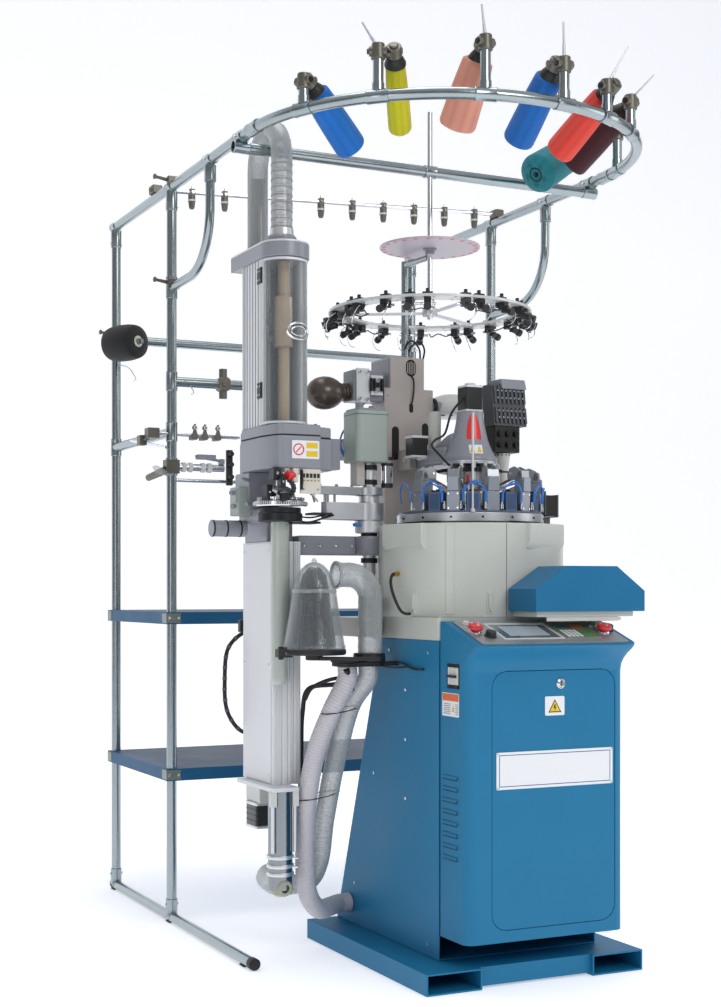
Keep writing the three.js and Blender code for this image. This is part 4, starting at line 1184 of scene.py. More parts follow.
@dataclass
class DialHead:
    """The lifting head over the needles: casting, arm, motor, dial and its labels.

    Attributes:
        skin: Radius and height of the casting's outside, bottom to top.
    """

    skin: tuple = ((76, 1414), (78, 1418), (78, 1429), (76, 1434), (70, 1442), (64, 1454), (58, 1468),
        (53, 1482), (49, 1497), (45.6, 1512), (42.6, 1527), (40.4, 1540), (38.8, 1554), (38, 1565))

    def radius(self, z: Array) -> Array:
        """Returns the casting's outer radius at each height."""
        profile = np.array(self.skin)
        return np.interp(z, profile[:, 1], profile[:, 0])

    def build(self) -> None:
        """Makes the casting with its arm, then the dial, motor, stepper, post, cable and labels."""
        self._casting()
        self._dial()
        self._motors()
        self._labels()

    def _casting(self) -> None:
        """Makes the bell, the arm that leaves its back, and the hinge barrel."""
        bell = [(0, 1414), *self.skin, (0, 1565)]
        place("head_bell", lathe(bell, sides=96), CAST_GREY, "head", ["dial_head"], 1.0, 2, 30)
        place("head_base_ring",
            lathe([(60, 1411), (79, 1411), (79.6, 1413), (79.6, 1419), (78, 1421), (60, 1421)], sides=96,
                loop=True), ALU_FLAT, "head", bevel=0.8)
        neck = plate([(-68, 30), (-72, 120), (-68, 232), (50, 232), (54, 120), (50, 30)], 1415, 1466)
        back = plate([(10, 1440), (10, 1506), (44, 1500), (84, 1486), (120, 1472), (150, 1466), (150, 1440)],
            -56, 30, "yzx")
        place("head_arm", [neck, back], CAST_GREY, "head", bevel=9.0, segments=4)
        place("head_hinge", [rod((-69, 232, 1442), (51, 232, 1442), 26, sides=40)], CAST_GREY, "head",
            bevel=2.0)
        place("head_hinge_pin", [rod((-96, 232, 1442), (78, 232, 1442), 9, sides=24)], GROUND_STEEL, bevel=1.0)

    def _dial(self) -> None:
        """Makes the dial disc with radial slots, under the bell."""
        disc = [(0, 1336), (46, 1336), (48, 1340), (48, 1352), (64, 1358), (66, 1366), (66, 1392), (40, 1400),
            (40, 1413.6), (0, 1413.6)]
        place("dial_disc", lathe(disc, sides=96), ALU_FLAT, "dial", ["dial_plate"], 0.6)
        place("dial_jacks", copies(block(50, 67.4, -0.7, 0.7, 1362, 1391), np.arange(0, 360, 6)), CHROME,
            "dial")
        place("dial_rings", [hoop(41, 60, z, z + 3, sides=64) for z in (1400.5, 1406.5)], DARK_STEEL, "dial")

    def _motors(self) -> None:
        """Makes the square top motor and the small stepper, each a dark stack between bright caps."""
        o = rounded(-28, 28, -28, 28, 5)
        place("head_motor_stack", plate(rounded(-27.2, 27.2, -27.2, 27.2, 4), 1570, 1636), MOTOR_BLACK, "head",
            ["dial_motor"], 0.8)
        place("head_motor_caps", [plate(o, 1565.4, 1571), plate(o, 1635, 1641)], ALU_SATIN, "head", bevel=1.2)
        place("head_motor_top", lathe([(0, 1640), (16, 1640), (16, 1646), (13, 1649.5), (0, 1649.5)]),
            ALU_SATIN, "head", bevel=0.6)
        place("head_motor_screws", [top_screw(x, y, 1641, 2.6) for x in (-22, 22) for y in (-22, 22)],
            DARK_STEEL, "head")
        place("stepper_stack", block(-120, -71, 128, 175, 1446, 1500), MOTOR_BLACK, "head", bevel=2.0)
        place("stepper_caps", [block(-122, -69, 126, 177, 1498, 1505), block(-122, -69, 126, 177, 1440, 1447),
            block(-84, -60, 130, 172, 1436, 1462)], ALU_SATIN, "head", bevel=1.2)
        place("white_post", lathe([(0, 1450), (18, 1450), (18, 1574), (15, 1580), (0, 1580)], (-34, 150, 0)),
            OFF_WHITE, "head", bevel=1.0)
        lead = spline([(-28, -12, 1606), (-58, 6, 1560), (-72, 24, 1500), (-104, 20, 1482), (-128, -6, 1462),
            (-120, -40, 1432), (-98, -56, 1404), (-78, -62, 1396)], 50)
        place("head_lead", pipe(lead, 3.4, sides=10), RUBBER, "head")

    def patch(self, angle: float, z0: float, z1: float, half: Callable[[Array], Array], proud: float) -> Shape:
        """A thin sheet that lies on the bell.

        The point at (u, v) is at height z0 + v (z1 - z0), half(v) u round from the middle, and
        proud of the bell's radius there; its rim drops into the casting.

        Args:
            angle: Direction of its middle, degrees.
            z0: Bottom.
            z1: Top.
            half: Half its width at each share of its height, millimetres.
            proud: How far it stands off the bell.

        Returns:
            The sheet as one closed skin.
        """
        v, u = np.meshgrid(np.linspace(0, 1, 15), np.linspace(-1, 1, 13), indexing="ij")
        z = z0 + v * (z1 - z0)
        layers = []
        for off in (proud, -1.2):
            r = self.radius(z) + off
            a = math.radians(angle) + u * half(v) / self.radius(z)
            layers.append(np.stack([r * np.cos(a), r * np.sin(a), z], -1).reshape(-1, 3))
        rows, cols = v.shape
        faces = grid_faces(rows, cols, False, False)
        n = rows * cols
        rim = [*range(cols), *range(2 * cols - 1, n, cols), *range(n - 2, n - cols - 1, -1),
            *range(n - 2 * cols, 0, -cols)]
        skin = faces + [[i + n for i in reversed(f)] for f in faces]
        skin += [[a, b, b + n, a + n] for a, b in zip(rim, rim[1:] + rim[:1])]
        return Shape(np.vstack(layers), skin)

    def _labels(self) -> None:
        """Makes the red drop-shaped foil and the pale card with two yellow triangles."""
        drop = self.patch(254, 1482, 1558, lambda v: 22 * np.sqrt(np.clip(1.02 - v**2.6, 0, 1))
            * (0.82 + 0.18 * (1 - v)), 0.7)
        place("head_red_drop", drop, RED_FOIL, "head")
        place("head_card", self.patch(256, 1440, 1466, lambda v: np.full_like(v, 20.0), 0.5), WHITE_FOIL,
            "head")
        marks = [self.patch(a, 1444, 1462, lambda v: 8.0 * (1.02 - v), 0.9) for a in (246, 265)]
        place("head_triangles", marks, YELLOW_FOIL, "head")


@dataclass
class RearColumn:
    """The beige column, its slots and leads, the grey pipe, the yarn manifold and the blower."""

    def build(self) -> None:
        """Makes the column, then what is fixed to it."""
        refine("rear_column", BEIGE, 2.5, 3)
        self._column_details()
        self._manifold()
        self._blower()

    def _column_details(self) -> None:
        """Makes the slots as black insets of painted shade with rims, the lead between them, and the side
        plate.
        """
        y = 277.7
        slots = [plate(rounded(-65, -31, 1700, 1752, 16.9, 10), y, y + 1.5, "xzy"),
            plate(rounded(-54, -40, 1590, 1618, 6.9, 8), y, y + 1.5, "xzy"),
            plate(rounded(-113, -89, 1444, 1546, 11.9, 8), y, y + 1.5, "xzy"),
            plate(rounded(-10, 12, 1490, 1560, 10.9, 8), y, y + 1.5, "xzy")]
        # Black insets in the slots: painted shade.
        place("column_slot_shade", slots, HOLLOW)
        place("column_ventilation",
            [post(-60 + 6 * n, y - 0.6, 1706 + 2 * abs(n - 2), 1746 - 2 * abs(n - 2), 1.3, sides=8)
                for n in range(5)], BEIGE)
        lead = spline([(-47, y - 1, 1702), (-44, y - 9, 1690), (-44, y - 11, 1660), (-46, y - 11, 1640),
            (-47, y - 6, 1622), (-47, y + 0.5, 1612)], 26)
        place("column_lead", pipe(lead, 2.6, sides=8), RUBBER)
        place("column_side_plate", block(-120.5, -117.6, 284, 404, 1660, 1752), CAST_GREY, bevel=1.0)
        place("column_screws", [front_screw(x, y, z, 3) for x in (-128, 18) for z in (940, 1390, 1640)], CHROME)
        loops = [spline([(-52 + d, 310, 1757), (-56 + 2 * d, 300, 1790), (-40 + 3 * d, 292, 1812),
            (-8 + 2 * d, 300, 1790), (2 + d, 312, 1757)], 30) for d in (0, 9)]
        place("column_top_leads", [pipe(line, 3.0, sides=8) for line in loops], RUBBER)
        dome = [(0, 60), (30, 58), (58, 48), (80, 30), (92, 8), (92, -6), (80, -10), (0, -10)]
        place("pale_dome", lathe(dome, (120, 330, 1600), sides=48), LIGHT_GREY, bevel=1.0)
        place("dome_bracket", [block(28.2, 60, 318, 344, 1588, 1604)], BEIGE, bevel=1.5)

    def _manifold(self) -> None:
        """Makes the ribbed yarn comb, the block below it, the white nozzle and the pipe behind."""
        slant = 18 / 125
        def face(z: float) -> float:
            """Returns Y of the comb's front at a height."""
            return 30 + (z - 1535) * slant
        body = plate([(30, 1535), (90, 1535), (108, 1660), (48, 1660)], 100, 212, "yzx")
        place("comb_body", body, DARK_GREY, stands_for=["valve_manifold"], bevel=2.0)
        ribs = []
        for z0, z1 in ((1543, 1590), (1602, 1654)):
            ribs += [plate([(face(z0) - 7, z0), (face(z0) + 4, z0), (face(z1) + 4, z1), (face(z1) - 7, z1)], x,
                x + 7, "yzx") for x in np.arange(104, 208, 14.2)]
        place("comb_ribs", ribs, DARK_GREY, bevel=1.4)
        inlets = [rod((x, face(z) - 9, z), (x, face(z) + 2, z - 1), 2.8, sides=10)
            for x in np.arange(114.6, 206, 14.2) for z in (1560, 1580, 1618, 1640)]
        place("comb_inlets", inlets, CAST_GREY)
        place("comb_top", plate([(34, 1646), (108, 1646), (112, 1676), (46, 1676)], 130, 214, "yzx"),
            CAST_GREY, bevel=2.0)
        place("comb_side_screws", [screw((212.1, 70, z), (FAR, 70, z), 4) for z in (1560, 1600, 1640)], CHROME)
        place("valve_block", block(104, 190, 34, 96, 1457, 1536), BLACK, bevel=3.0)
        nozzles = [rod((x, 33, z), (x, 22, z), 9, 8) for x in (120, 147, 174) for z in (1480, 1512)]
        place("valve_nozzles", nozzles, BLACK, bevel=1.2)
        place("valve_ports", [rod((x, 21.6, z), (x, 21, z), 5) for x in (120, 147, 174) for z in (1480, 1512)],
            DARK_STEEL)
        cone = [(0, 1345), (11, 1345), (12, 1348), (23, 1440), (24, 1456), (0, 1456)]
        place("white_nozzle", lathe(cone, (147, 66, 0)), LIGHT_GREY, bevel=0.8)
        place("nozzle_band", lathe([(17, 1398), (18.6, 1398), (19.4, 1403), (17, 1403)], (147, 66, 0),
            loop=True), BLACK)
        place("nozzle_dashes", copies(block(23.6, 24.7, -1.4, 1.4, 1448, 1453), np.arange(0, 360, 30),
            (147, 66)), BLACK)
        run = np.vstack([np.array([(150, 70, 1610), (150, 180, 1610), (150, 258, 1610)], float),
            bezier((150, 262, 1610), (150, 285, 1610), (145, 290, 1610), (120, 290, 1610)),
            [(60, 290, 1610), (28.5, 290, 1610)]])
        place("manifold_pipe", pipe(resample(run, 40), 20, sides=32), CAST_GREY)
        place("manifold_collars", [rod((x, 290, 1610), (x + w, 290, 1610), r, sides=36)
            for x, w, r in ((28.6, 9, 30), (60, 14, 23.5), (96, 6, 22.5))], DARK_STEEL, bevel=1.2)

    def _blower(self) -> None:
        """Makes the bronze blower bulb, its neck and its block with bright plates and bolts."""
        skin = [(0, -56), (14, -54.6), (26, -50), (37, -41), (44.6, -29), (49, -14), (50, 0), (48.6, 14),
            (44.6, 27), (39, 38), (32, 46), (27, 54), (24.4, 64), (24, 80), (0, 80)]
        place("blower_bulb", lathe(skin, (-318, 318, 1640), (-200, 318, 1650), 64), BRONZE,
            stands_for=["suction_blower"], sharp=50)
        place("blower_neck_rings", [hoop(20, 28, h, h + 5, (-318, 318, 1640), (-200, 318, 1650), 40)
            for h in (52, 62, 72)], BRONZE, bevel=1.2)
        place("blower_block", block(-240, -138.4, 284, 356, 1618, 1712), CAST_GREY, bevel=3.0)
        place("blower_plate", [block(-232, -188, 276.5, 284.2, 1612, 1716),
            block(-186, -146, 272, 284.2, 1636, 1696)], ALU_SATIN, bevel=1.4)
        place("blower_bolts", [rod((x, 266, z), (x, 284, z), 5, sides=6) for x in (-224, -198)
            for z in (1624, 1704)] + [rod((-168, 262, z), (-168, 284, z), 7, sides=20) for z in (1652, 1680)],
            CHROME, bevel=0.5)
        place("blower_windings", [post(-186 + 12 * n, 268, 1648, 1686, 5, sides=14) for n in range(4)],
            DARK_STEEL)
        lines = [spline([(-214, 280, 1612), (-238, 252, 1588), (-300, 206, 1530), (-334, 176, 1478),
            (-330, 160, 1440), (-300, 142, 1412)], 50),
            spline([(-204, 280, 1612), (-246, 244, 1576), (-318, 196, 1506), (-338, 164, 1470),
                (-322, 150, 1430), (-296, 138, 1410)], 50)]
        place("blower_air_lines", [pipe(line, 2.6, sides=8) for line in lines], AIR_BLUE)


@dataclass
class Hood:
    """The folded blue guard in front of the drum, and the tray that shows below it."""

    def build(self) -> None:
        """Makes the guard and what shows below it."""
        refine("belt_hood", HOOD_BLUE, 3.0, 3)
        place("hood_tray", [block(10, 240, -398, -392, 966, 978), block(196, 250, -396, -330, 968, 976)],
            LIGHT_GREY, bevel=1.2)


# ---------------------------------------------------------------- transfer arm and lifting gear


@dataclass
class TransferArm:
    """The arm that carries a sock from the needles to the linking unit, its shaft and lift.

    Attributes:
        angle: Direction of the arm at rest, degrees.
    """

    angle: float = 186

    def _out(self, shape: Shape) -> Shape:
        """Returns a shape given along the arm, in place."""
        return shape.about_z(self.angle).moved(*PIVOT)

    def build(self) -> None:
        """Makes the arm, then the gear at its hub, its fittings and the lift above it."""
        self._arm()
        self._hub()
        self._lift()

    def _arm(self) -> None:
        """Makes the two flat arms with round hubs and their small fittings."""
        lower = plate([(0, -34), (150, -15), (160.5, 0), (150, 15), (0, 34)], 1250, 1300)
        upper = plate([(0, -18), (190, -13), (199, 0), (190, 13), (0, 18)], 1322, 1345)
        hubs = [hoop(20.6, 46, 1250, 1300, sides=64), hoop(20.6, 42, 1322, 1345, sides=64)]
        place("transfer_arms", [self._out(s) for s in (lower, upper)], ALU_FLAT, "transfer_arm", ["swing_arm"],
            2.2, 3)
        place("transfer_hubs", [self._out(s) for s in hubs], ALU_FLAT, "transfer_arm", bevel=1.6)
        sleeve = [(20.6, 1300), (30, 1300), (30, 1322), (20.6, 1322)]
        ring = [(20.6, 1214), (38, 1214), (40, 1216), (40, 1250), (20.6, 1250)]
        place("transfer_sleeves", [self._out(lathe(p, sides=64, loop=True)) for p in (sleeve, ring)],
            GROUND_STEEL, "transfer_arm", bevel=0.8)
        knurl = [self._out(block(39.4, 41, -0.8, 0.8, 1218, 1246).about_z(a)) for a in np.arange(0, 360, 6)]
        place("knurled_ring", knurl, GROUND_STEEL, "transfer_arm")
        small = [post(x, y, 1300, 1322, 4) for x, y in ((120, 6), (136, -5), (150, 3))] + [post(x, 0, 1345,
            1352, 5, sides=6) for x in (60, 110, 165)]
        small += [rod((x, -s, 1275), (x, -s - 7, 1275), 4, sides=12)
            for x, s in ((50, 27), (80, 24), (110, 20))]
        place("arm_fittings", [self._out(s) for s in small], CHROME, "transfer_arm", bevel=0.6)
        tip = [post(188, 0, 1318, 1350, 8), rod((188, 0, 1318), (176, 10, 1300), 3),
            rod((188, 0, 1318), (176, -10, 1300), 3)]
        place("arm_tip", [self._out(s) for s in tip], GROUND_STEEL, "transfer_arm", bevel=0.6)

    def _hub(self) -> None:
        """Makes the shaft, its bracket, clamp and collars, and the banded air cylinder beside it."""
        x, y = PIVOT
        place("pivot_shaft", [post(x, y, 970.4, 1415.5, 19, sides=48)], GROUND_STEEL,
            stands_for=["link_bracket"], bevel=0.8)
        bracket = [block(-485.7, -290, 128, 188, 1150, 1205), block(-300, -262, 100, 180, 1150, 1205)]
        place("pivot_bracket", bracket, CAST_GREY, bevel=5.0, segments=3)
        place("pivot_clamp", lathe([(0, 1150), (37, 1150), (38, 1152), (38, 1203), (37, 1205), (0, 1205)],
            (x, y, 0)), CAST_GREY, bevel=1.0)
        place("pivot_collars", [lathe([(0, z), (24, z), (24, z + 14), (0, z + 14)], (x, y, 0))
            for z in (1128, 1206, 1354, 1396)], DARK_STEEL, bevel=1.0)
        place("bracket_screws", [front_screw(px, 128, 1177, 5) for px in (-470, -420, -370, -320)], CHROME)
        place("lift_barrel", post(x + 48, y - 20, 1352, 1428, 16.5, sides=40), CHROME, bevel=1.0)
        place("lift_barrel_bands", [post(x + 48, y - 20, z, z + h, 17.6, sides=40)
            for z, h in ((1346, 12), (1408, 8), (1424, 10))], BLACK, bevel=0.8)
        place("shaft_fitting", [rod((x - 39, y - 22, 1236), (x - 60, y - 34, 1236), 4.4),
            rod((x - 58, y - 33, 1236), (x - 66, y - 38, 1236), 5.4)], AIR_BLUE, bevel=0.6)

    def _lift(self) -> None:
        """Makes the rounded cover, the beige block below it and the arms back to the column."""
        place("lift_housing", plate(rounded(-332, -226, 64, 168, 18, 10), 1416, 1565), GREEN_GREY,
            stands_for=["lift_cover"], bevel=5.0, segments=4)
        place("lift_block", block(-318, -292, 96, 140, 1350.4, 1418), BEIGE, bevel=1.6)
        place("lift_arms",
            [block(-278, -240, 160, 318, 1440, 1500), block(-278, -138.4, 290, 318, 1440, 1500)], CAST_GREY,
            bevel=4.0, segments=3)
        place("lift_seam", plate(rounded(-332.5, -225.5, 63.5, 168.5, 18, 10), 1552, 1553.4), HOLLOW)
        place("lift_top_plate", [plate(rounded(-326, -232, 70, 162, 12, 6), 1564, 1571),
            post(-300, 116, 1570, 1590, 12), post(-262, 116, 1570, 1582, 8)], CAST_GREY, bevel=1.6)


# ---------------------------------------------------------------- linking unit


@dataclass
class LinkUnit:
    """The toe-linking unit: column, body, dial, head, glazed tower and the sock tube's outlet."""

    def build(self) -> None:
        """Makes each part from the column's foot to the tower's cap."""
        self._column()
        self._outlet()
        self._body()
        self._dial()
        self._head()
        self._counter()
        self._tower()
        self._carriage()

    def _column(self) -> None:
        """Makes the extruded column with its grooves, and the frosted sock tube before it."""
        outline = [(-570, 113), (-570, 343), (-486, 343), (-486, 113)]
        for x in (-510, -528, -546):
            outline += [(x + 4, 113), (x + 4, 119), (x - 4, 119), (x - 4, 113)]
        place("column_extrusion", plate(outline, 502, 1187), ALU_SATIN, stands_for=["link_column"], bevel=1.0)
        place("column_side_cover", plate(rounded(126, 336, 506, 1183, 10), -572.4, -569.8, "yzx"), ALU_SATIN,
            bevel=0.8)
        strips = [block(x, x + 5, 110.6, 113.2, 506, 1184) for x in (-566, -559, -521, -503, -495)]
        place("column_profile_strips", strips, ALU_SATIN, bevel=0.8)
        tube = [(0, 783), (10, 784), (18, 788), (23.4, 795), (25.6, 806), (25.6, 1239.4), (22.4, 1239.4),
            (22.4, 808), (16, 792), (0, 787)]
        place("sock_drop_tube", lathe(tube, (AXIS[0], AXIS[1] + 3, 0), sides=56), FROSTED)
        place("column_screws_front", [front_screw(x, 112.8, z, 3.2) for x in (-564, -491)
            for z in (540, 760, 980, 1160)], GROUND_STEEL)
        place("column_side_screws", [screw((-572.2, y, z), (-FAR, y, z), 3.2) for y in (140, 322)
            for z in (530, 840, 1160)], GROUND_STEEL)

    def _outlet(self) -> None:
        """Makes the foot flange and motor, the sock tube with its bands, and the tinted elbow."""
        place("outlet_flange", plate(rounded(-600, -516, 45, 322, 8), 490, 501.7), ALU_SATIN,
            stands_for=["outlet_tube"], bevel=1.6)
        place("foot_box", [block(-570, -500, 215, 320, 437, 490)], LIGHT_GREY, bevel=2.5, segments=3)
        place("foot_motor_stack", plate(rounded(-575, -495, 228, 308, 6), 370, 430), MOTOR_BLACK, bevel=0.8)
        place("foot_motor_caps", [plate(rounded(-577, -493, 226, 310, 7), a, b)
            for a, b in ((429, 437.4), (363, 371))], GROUND_STEEL, bevel=1.2)
        place("foot_motor_bands", [plate(rounded(-576, -494, 227, 309, 6), z, z + 2) for z in (384, 400, 416)],
            BLACK)
        x, y = AXIS
        place("sock_tube", pipe([(x, y, 215), (x, y, 491)], 34.5, 32.4, 64), TUBE_STEEL, bevel=0.6)
        bands = [lathe([(34, z), (37.6, z), (38.4, z + 1.5), (38.4, z + 9), (37.6, z + 10.5), (34, z + 10.5)],
            (x, y, 0), sides=64, loop=True) for z in (276, 301, 254)]
        place("sock_tube_bands", bands, GROUND_STEEL)
        place("band_screws", [rod((x + 20, y - 36, z), (x + 36, y - 42, z), 3.4) for z in (281, 306)], CHROME,
            bevel=0.4)
        place("flange_rods",
            [post(px, py, 320, 490, 6, sides=20) for px, py in ((-592, 60), (-526, 60), (-526, 118))],
            GROUND_STEEL, bevel=0.8)
        place("rod_blocks", [block(px - 9, px + 9, py - 9, py + 9, 448, 490)
            for px, py in ((-592, 60), (-526, 60))], LIGHT_GREY, bevel=1.4)
        bulb = lathe([(0, -34), (14, -31), (24, -24), (31, -14), (34.2, 0), (34.2, 24), (31, 24), (31, 0),
            (24, -18), (0, -28)], (x, y, 226), sides=56)
        place("outlet_bulb", bulb, OLIVE_CLEAR)
        port = lathe([(12, 0), (22, 0), (23, 3), (23, 8), (19, 12), (12, 12)], (x, y - 27, 222),
            (x, y - 90, 218), 40, True)
        place("outlet_port", port, OLIVE_CLEAR, bevel=0.8)
        # Black disc inside the port: painted shade.
        place("outlet_port_shade", lathe([(0, 1), (12.2, 1), (12.2, 6), (0, 6)], (x, y - 27, 222),
            (x, y - 90, 218), 32), HOLLOW)
        place("outlet_side_pipe", pipe([(x, y + 20, 245), (x, y + 46, 245)], 29, 26.5, 40), CLEAR_HOSE)

    def _body(self) -> None:
        """Makes the under-body, side blocks and levers, and the stub motor on the left."""
        x, y = AXIS
        drum = [(0, 1240), (60, 1240), (62, 1243), (62, 1262), (58, 1266), (58, 1279), (0, 1279)]
        place("link_drum", lathe(drum, (x, y, 0), sides=72), DARK_STEEL, stands_for=["link_body"], bevel=1.0)
        place("link_blocks",
            [block(-600, -500, 130, 300, 1240, 1279), block(-570, -490, 160, 330, 1187.4, 1245),
                block(-612, -520, 190, 300, 1270, 1384.7)], CAST_GREY, bevel=3.5, segments=3)
        place("link_side_block",
            [block(-640, -600, 200, 270, 1262, 1344), block(-646, -612, 206, 240, 1300, 1338)], GREEN_GREY,
            bevel=3.0)
        knobs = [rod((-646, 214, z), (-668 + d, 206, z), 7, sides=20) for z, d in ((1326, 6), (1288, 10))]
        knobs += [rod((-612, 186, 1360), (-640, 176, 1366), 5), rod((-606, 186, 1300), (-628, 170, 1292), 6)]
        place("link_knobs", knobs, CAST_GREY, bevel=1.4)
        place("stub_motor", [rod((-600, 250, 1226), (-705, 250, 1226), 23.6, sides=44)], CAST_GREY, bevel=1.6)
        place("stub_motor_bands", [rod((a, 250, 1226), (a - 5, 250, 1226), 24.6, sides=44)
            for a in (-616, -658, -698)], DARK_STEEL, bevel=1.0)
        links = []
        for n in range(13):
            t = n / 12
            c = np.array([-604 + 46 * math.sin(2.6 * t), 20 - 26 * math.sin(3.0 * t), 1378 - 84 * t])
            links.append(rod(c + [-6, 0, 0], c + [6, 0, 0], 5.2, sides=12))
            links.append(rod(c + [0, -5, -3], c + [0, 5, -3], 3.2, sides=10))
        place("transfer_chain", links, BLACK, bevel=0.6)
        small = [block(-612, -590, 6, 40, 1352, 1384), block(-600, -584, -14, 8, 1330, 1362),
            block(-618, -602, 40, 80, 1300, 1340), block(-590, -572, -4, 20, 1296, 1316)]
        place("chain_guides", small, DARK_STEEL, bevel=1.6)
        place("chain_screws", [front_screw(-601, 6, 1370, 4), front_screw(-592, -14, 1346, 3.4),
            front_screw(-610, 40, 1320, 3.4)], CHROME)
        place("under_plates", [block(-520, -430, 96, 170, 1238, 1244), block(-470, -410, 60, 120, 1262, 1268)],
            BLACK, bevel=1.4)
        place("under_leads",
            [pipe(spline([(-520, 110, 1250), (-480, 70, 1240), (-440, 60, 1252), (-400, 84, 1262),
                (-370, 108, 1262)], 30), 3, sides=8),
                pipe(spline([(-510, 120, 1262), (-470, 84, 1254), (-430, 72, 1262), (-392, 92, 1270)], 30),
                    2.4, sides=8)], RUBBER)

    def _dial(self) -> None:
        """Makes the linking dial: toothed rim, point ring, dome and spindle."""
        x, y = AXIS
        rim = [(0, 1282), (74, 1282), (76, 1285), (76, 1295), (70, 1298), (0, 1298)]
        dome = [(0, 1297), (47, 1297), (46, 1302), (44, 1312), (38, 1324), (30, 1334), (20, 1339), (13, 1341),
            (13, 1384.4), (0, 1384.4)]
        place("linking_disc", [lathe(rim, (x, y, 0), sides=96), lathe(dome, (x, y, 0), sides=72)], CHROME,
            "linking_dial", ["link_dial"], 0.6)
        place("linking_points", copies(block(66, 68, -0.7, 0.7, 1297, 1307), np.arange(0, 360, 4), (x, y)),
            CHROME, "linking_dial")
        place("linking_teeth", copies(block(75, 77.2, -1.3, 1.3, 1286, 1294), np.arange(0, 360, 5), (x, y)),
            GROUND_STEEL, "linking_dial")
        place("linking_collar", hoop(48, 64, 1298, 1301, (x, y, 0), sides=72), DARK_STEEL, "linking_dial")

    def _head(self) -> None:
        """Makes the head casting in two tiers with a seam, its screws, rear box and label card."""
        outline = [(-618, 240), (-618, 110), (-612, 66), (-606, 36), (-598, 14), (-584, 4), (-472, 2),
            (-467, 18), (-466, 40), (-452, 58), (-408, 70), (-405, 120), (-404, 190), (-440, 250), (-505, 252),
            (-505, 322), (-590, 322), (-590, 252), (-606, 252)]
        o = np.array(outline, float)
        middle = np.array([-512, 150])
        place("head_lower_tier", plate(o, 1385, 1476), CAST_GREY, stands_for=["link_head"], bevel=6.0,
            segments=4)
        place("head_upper_tier", plate(middle + (o - middle) * 0.985, 1478, 1508), CAST_GREY, bevel=5.0,
            segments=4)
        place("head_seam", plate(middle + (o - middle) * 0.975, 1475, 1479), HOLLOW)
        place("head_screws",
            [top_screw(a, b, 1508, 3.6) for a, b in ((-600, 60), (-484, 14), (-424, 90), (-600, 200),
                (-430, 220))], DARK_STEEL)
        place("head_rear_box", block(-404.4, -372, 90, 200, 1392, 1480), CAST_GREY, bevel=3.0)
        card = plate(rounded(-560, -478, 1412, 1462, 3), 2.4, 1.6, "xzy")
        place("head_card_foil", card, WHITE_FOIL)
        ring = hoop(13, 16.5, 0, 0.5, (-540, 1.6, 1437), (-540, -90, 1437), 40)
        bar = plate([(-11, -1.6), (11, -1.6), (11, 1.6), (-11, 1.6)], 0, 0.5).aimed((-540, 1.6, 1437),
            (-540, -90, 1437), 45)
        place("head_card_ring", [ring, bar], RED_FOIL)
        place("head_card_panels", [block(-517, -483, 0.9, 1.7, z, z + 15) for z in (1418, 1441)], YELLOW_FOIL)

    def _counter(self) -> None:
        """Makes the beige counter plate with its windows, the red knob and the small black slide."""
        place("counter_plate", plate(rounded(-532, -470, 1316, 1384, 3), 8, 14, "xzy"), CREAM, bevel=1.0)
        place("counter_windows", [block(-526 + 11 * n, -518 + 11 * n, 6.6, 8.4, 1360, 1372) for n in range(5)],
            BLACK, bevel=0.6)
        place("counter_screws", [front_screw(x, 8, 1328, 3.4) for x in (-522, -480)], CHROME)
        place("counter_pins", [rod((-522 + 11 * n, 8, 1352), (-522 + 11 * n, 2, 1352), 1.6, sides=8)
            for n in range(5)], BRASS)
        knob = [(0, 0), (7, 0), (8, 3), (8, 10), (13, 14), (13, 26), (11, 29), (0, 29)]
        place("red_knob", lathe(knob, (-552, 4, 1366), (-600, -16, 1362), 32), RED, bevel=0.8)
        place("knob_block", block(-556, -540, 2, 30, 1346, 1385), CREAM, bevel=1.6)
        place("slide_bar", [block(-534, -528, -2, 8, 1326, 1382), post(-531, -4, 1340, 1376, 2.6, sides=10)],
            BLACK, bevel=0.8)

    def _tower(self) -> None:
        """Makes the extruded tower, the rods in it, its clear door with hinges and pull, and the cap."""
        side = [(243, -600), (243, -612)]
        for y in np.arange(226, 100, -21):
            side += [(y + 3.4, -612), (y + 3.4, -608.6), (y - 3.4, -608.6), (y - 3.4, -612)]
        side += [(90, -612), (90, -600)]
        low, high = 1508.4, 1972
        place("tower_left_wall", plate(np.array(side)[:, ::-1], low, high), ALU_SATIN,
            stands_for=["link_tower"], bevel=0.7)
        place("tower_walls", [block(-494, -482, 90, 243, low, high), block(-600, -494, 232, 243, low, high)],
            ALU_SATIN, bevel=1.2)
        place("tower_edge_strips", [block(-613.4, -611.6, y, y + 4, low, high) for y in (92, 104, 216, 234)],
            GROUND_STEEL, bevel=0.5)
        rods = [post(x, y, low, high, r, sides=32)
            for x, y, r in ((-584, 150, 6), (-510, 150, 6), (-560, 176, 9))]
        place("tower_guide_rods", rods, CHROME)
        place("tower_screw", post(-530, 170, low, high, 7, sides=24), BRASS)
        # Dark blackened-steel sheets lining the inside of the back and left walls: painted shade inside the
        # tower.
        place("tower_inner_wall_shade",
            [block(-598, -496, 224, 231, low, high), block(-599.6, -597, 92, 226, low, high)], DARK_STEEL,
            bevel=1.0)
        lines = [block(-609.4, -608.2, y - 3.2, y + 3.2, low, high) for y in np.arange(226, 100, -21)]
        place("tower_groove_shade", lines, HOLLOW)
        x, y = TOWER
        shell = [(62, low + 2), (65, low + 2), (65, high - 2), (62, high - 2)]
        place("tower_door", lathe(shell, (x, y, 0), sides=48, loop=True, arc=(180, 360)), CLEAR, "tower_door",
            ["link_cover"])
        rims = [hoop(61.4, 66, z, z + 7, (x, y, 0), sides=48, arc=(180, 360)) for z in (low + 2, high - 9)]
        place("tower_door_rims", rims, ALU_SATIN, "tower_door", bevel=0.8)
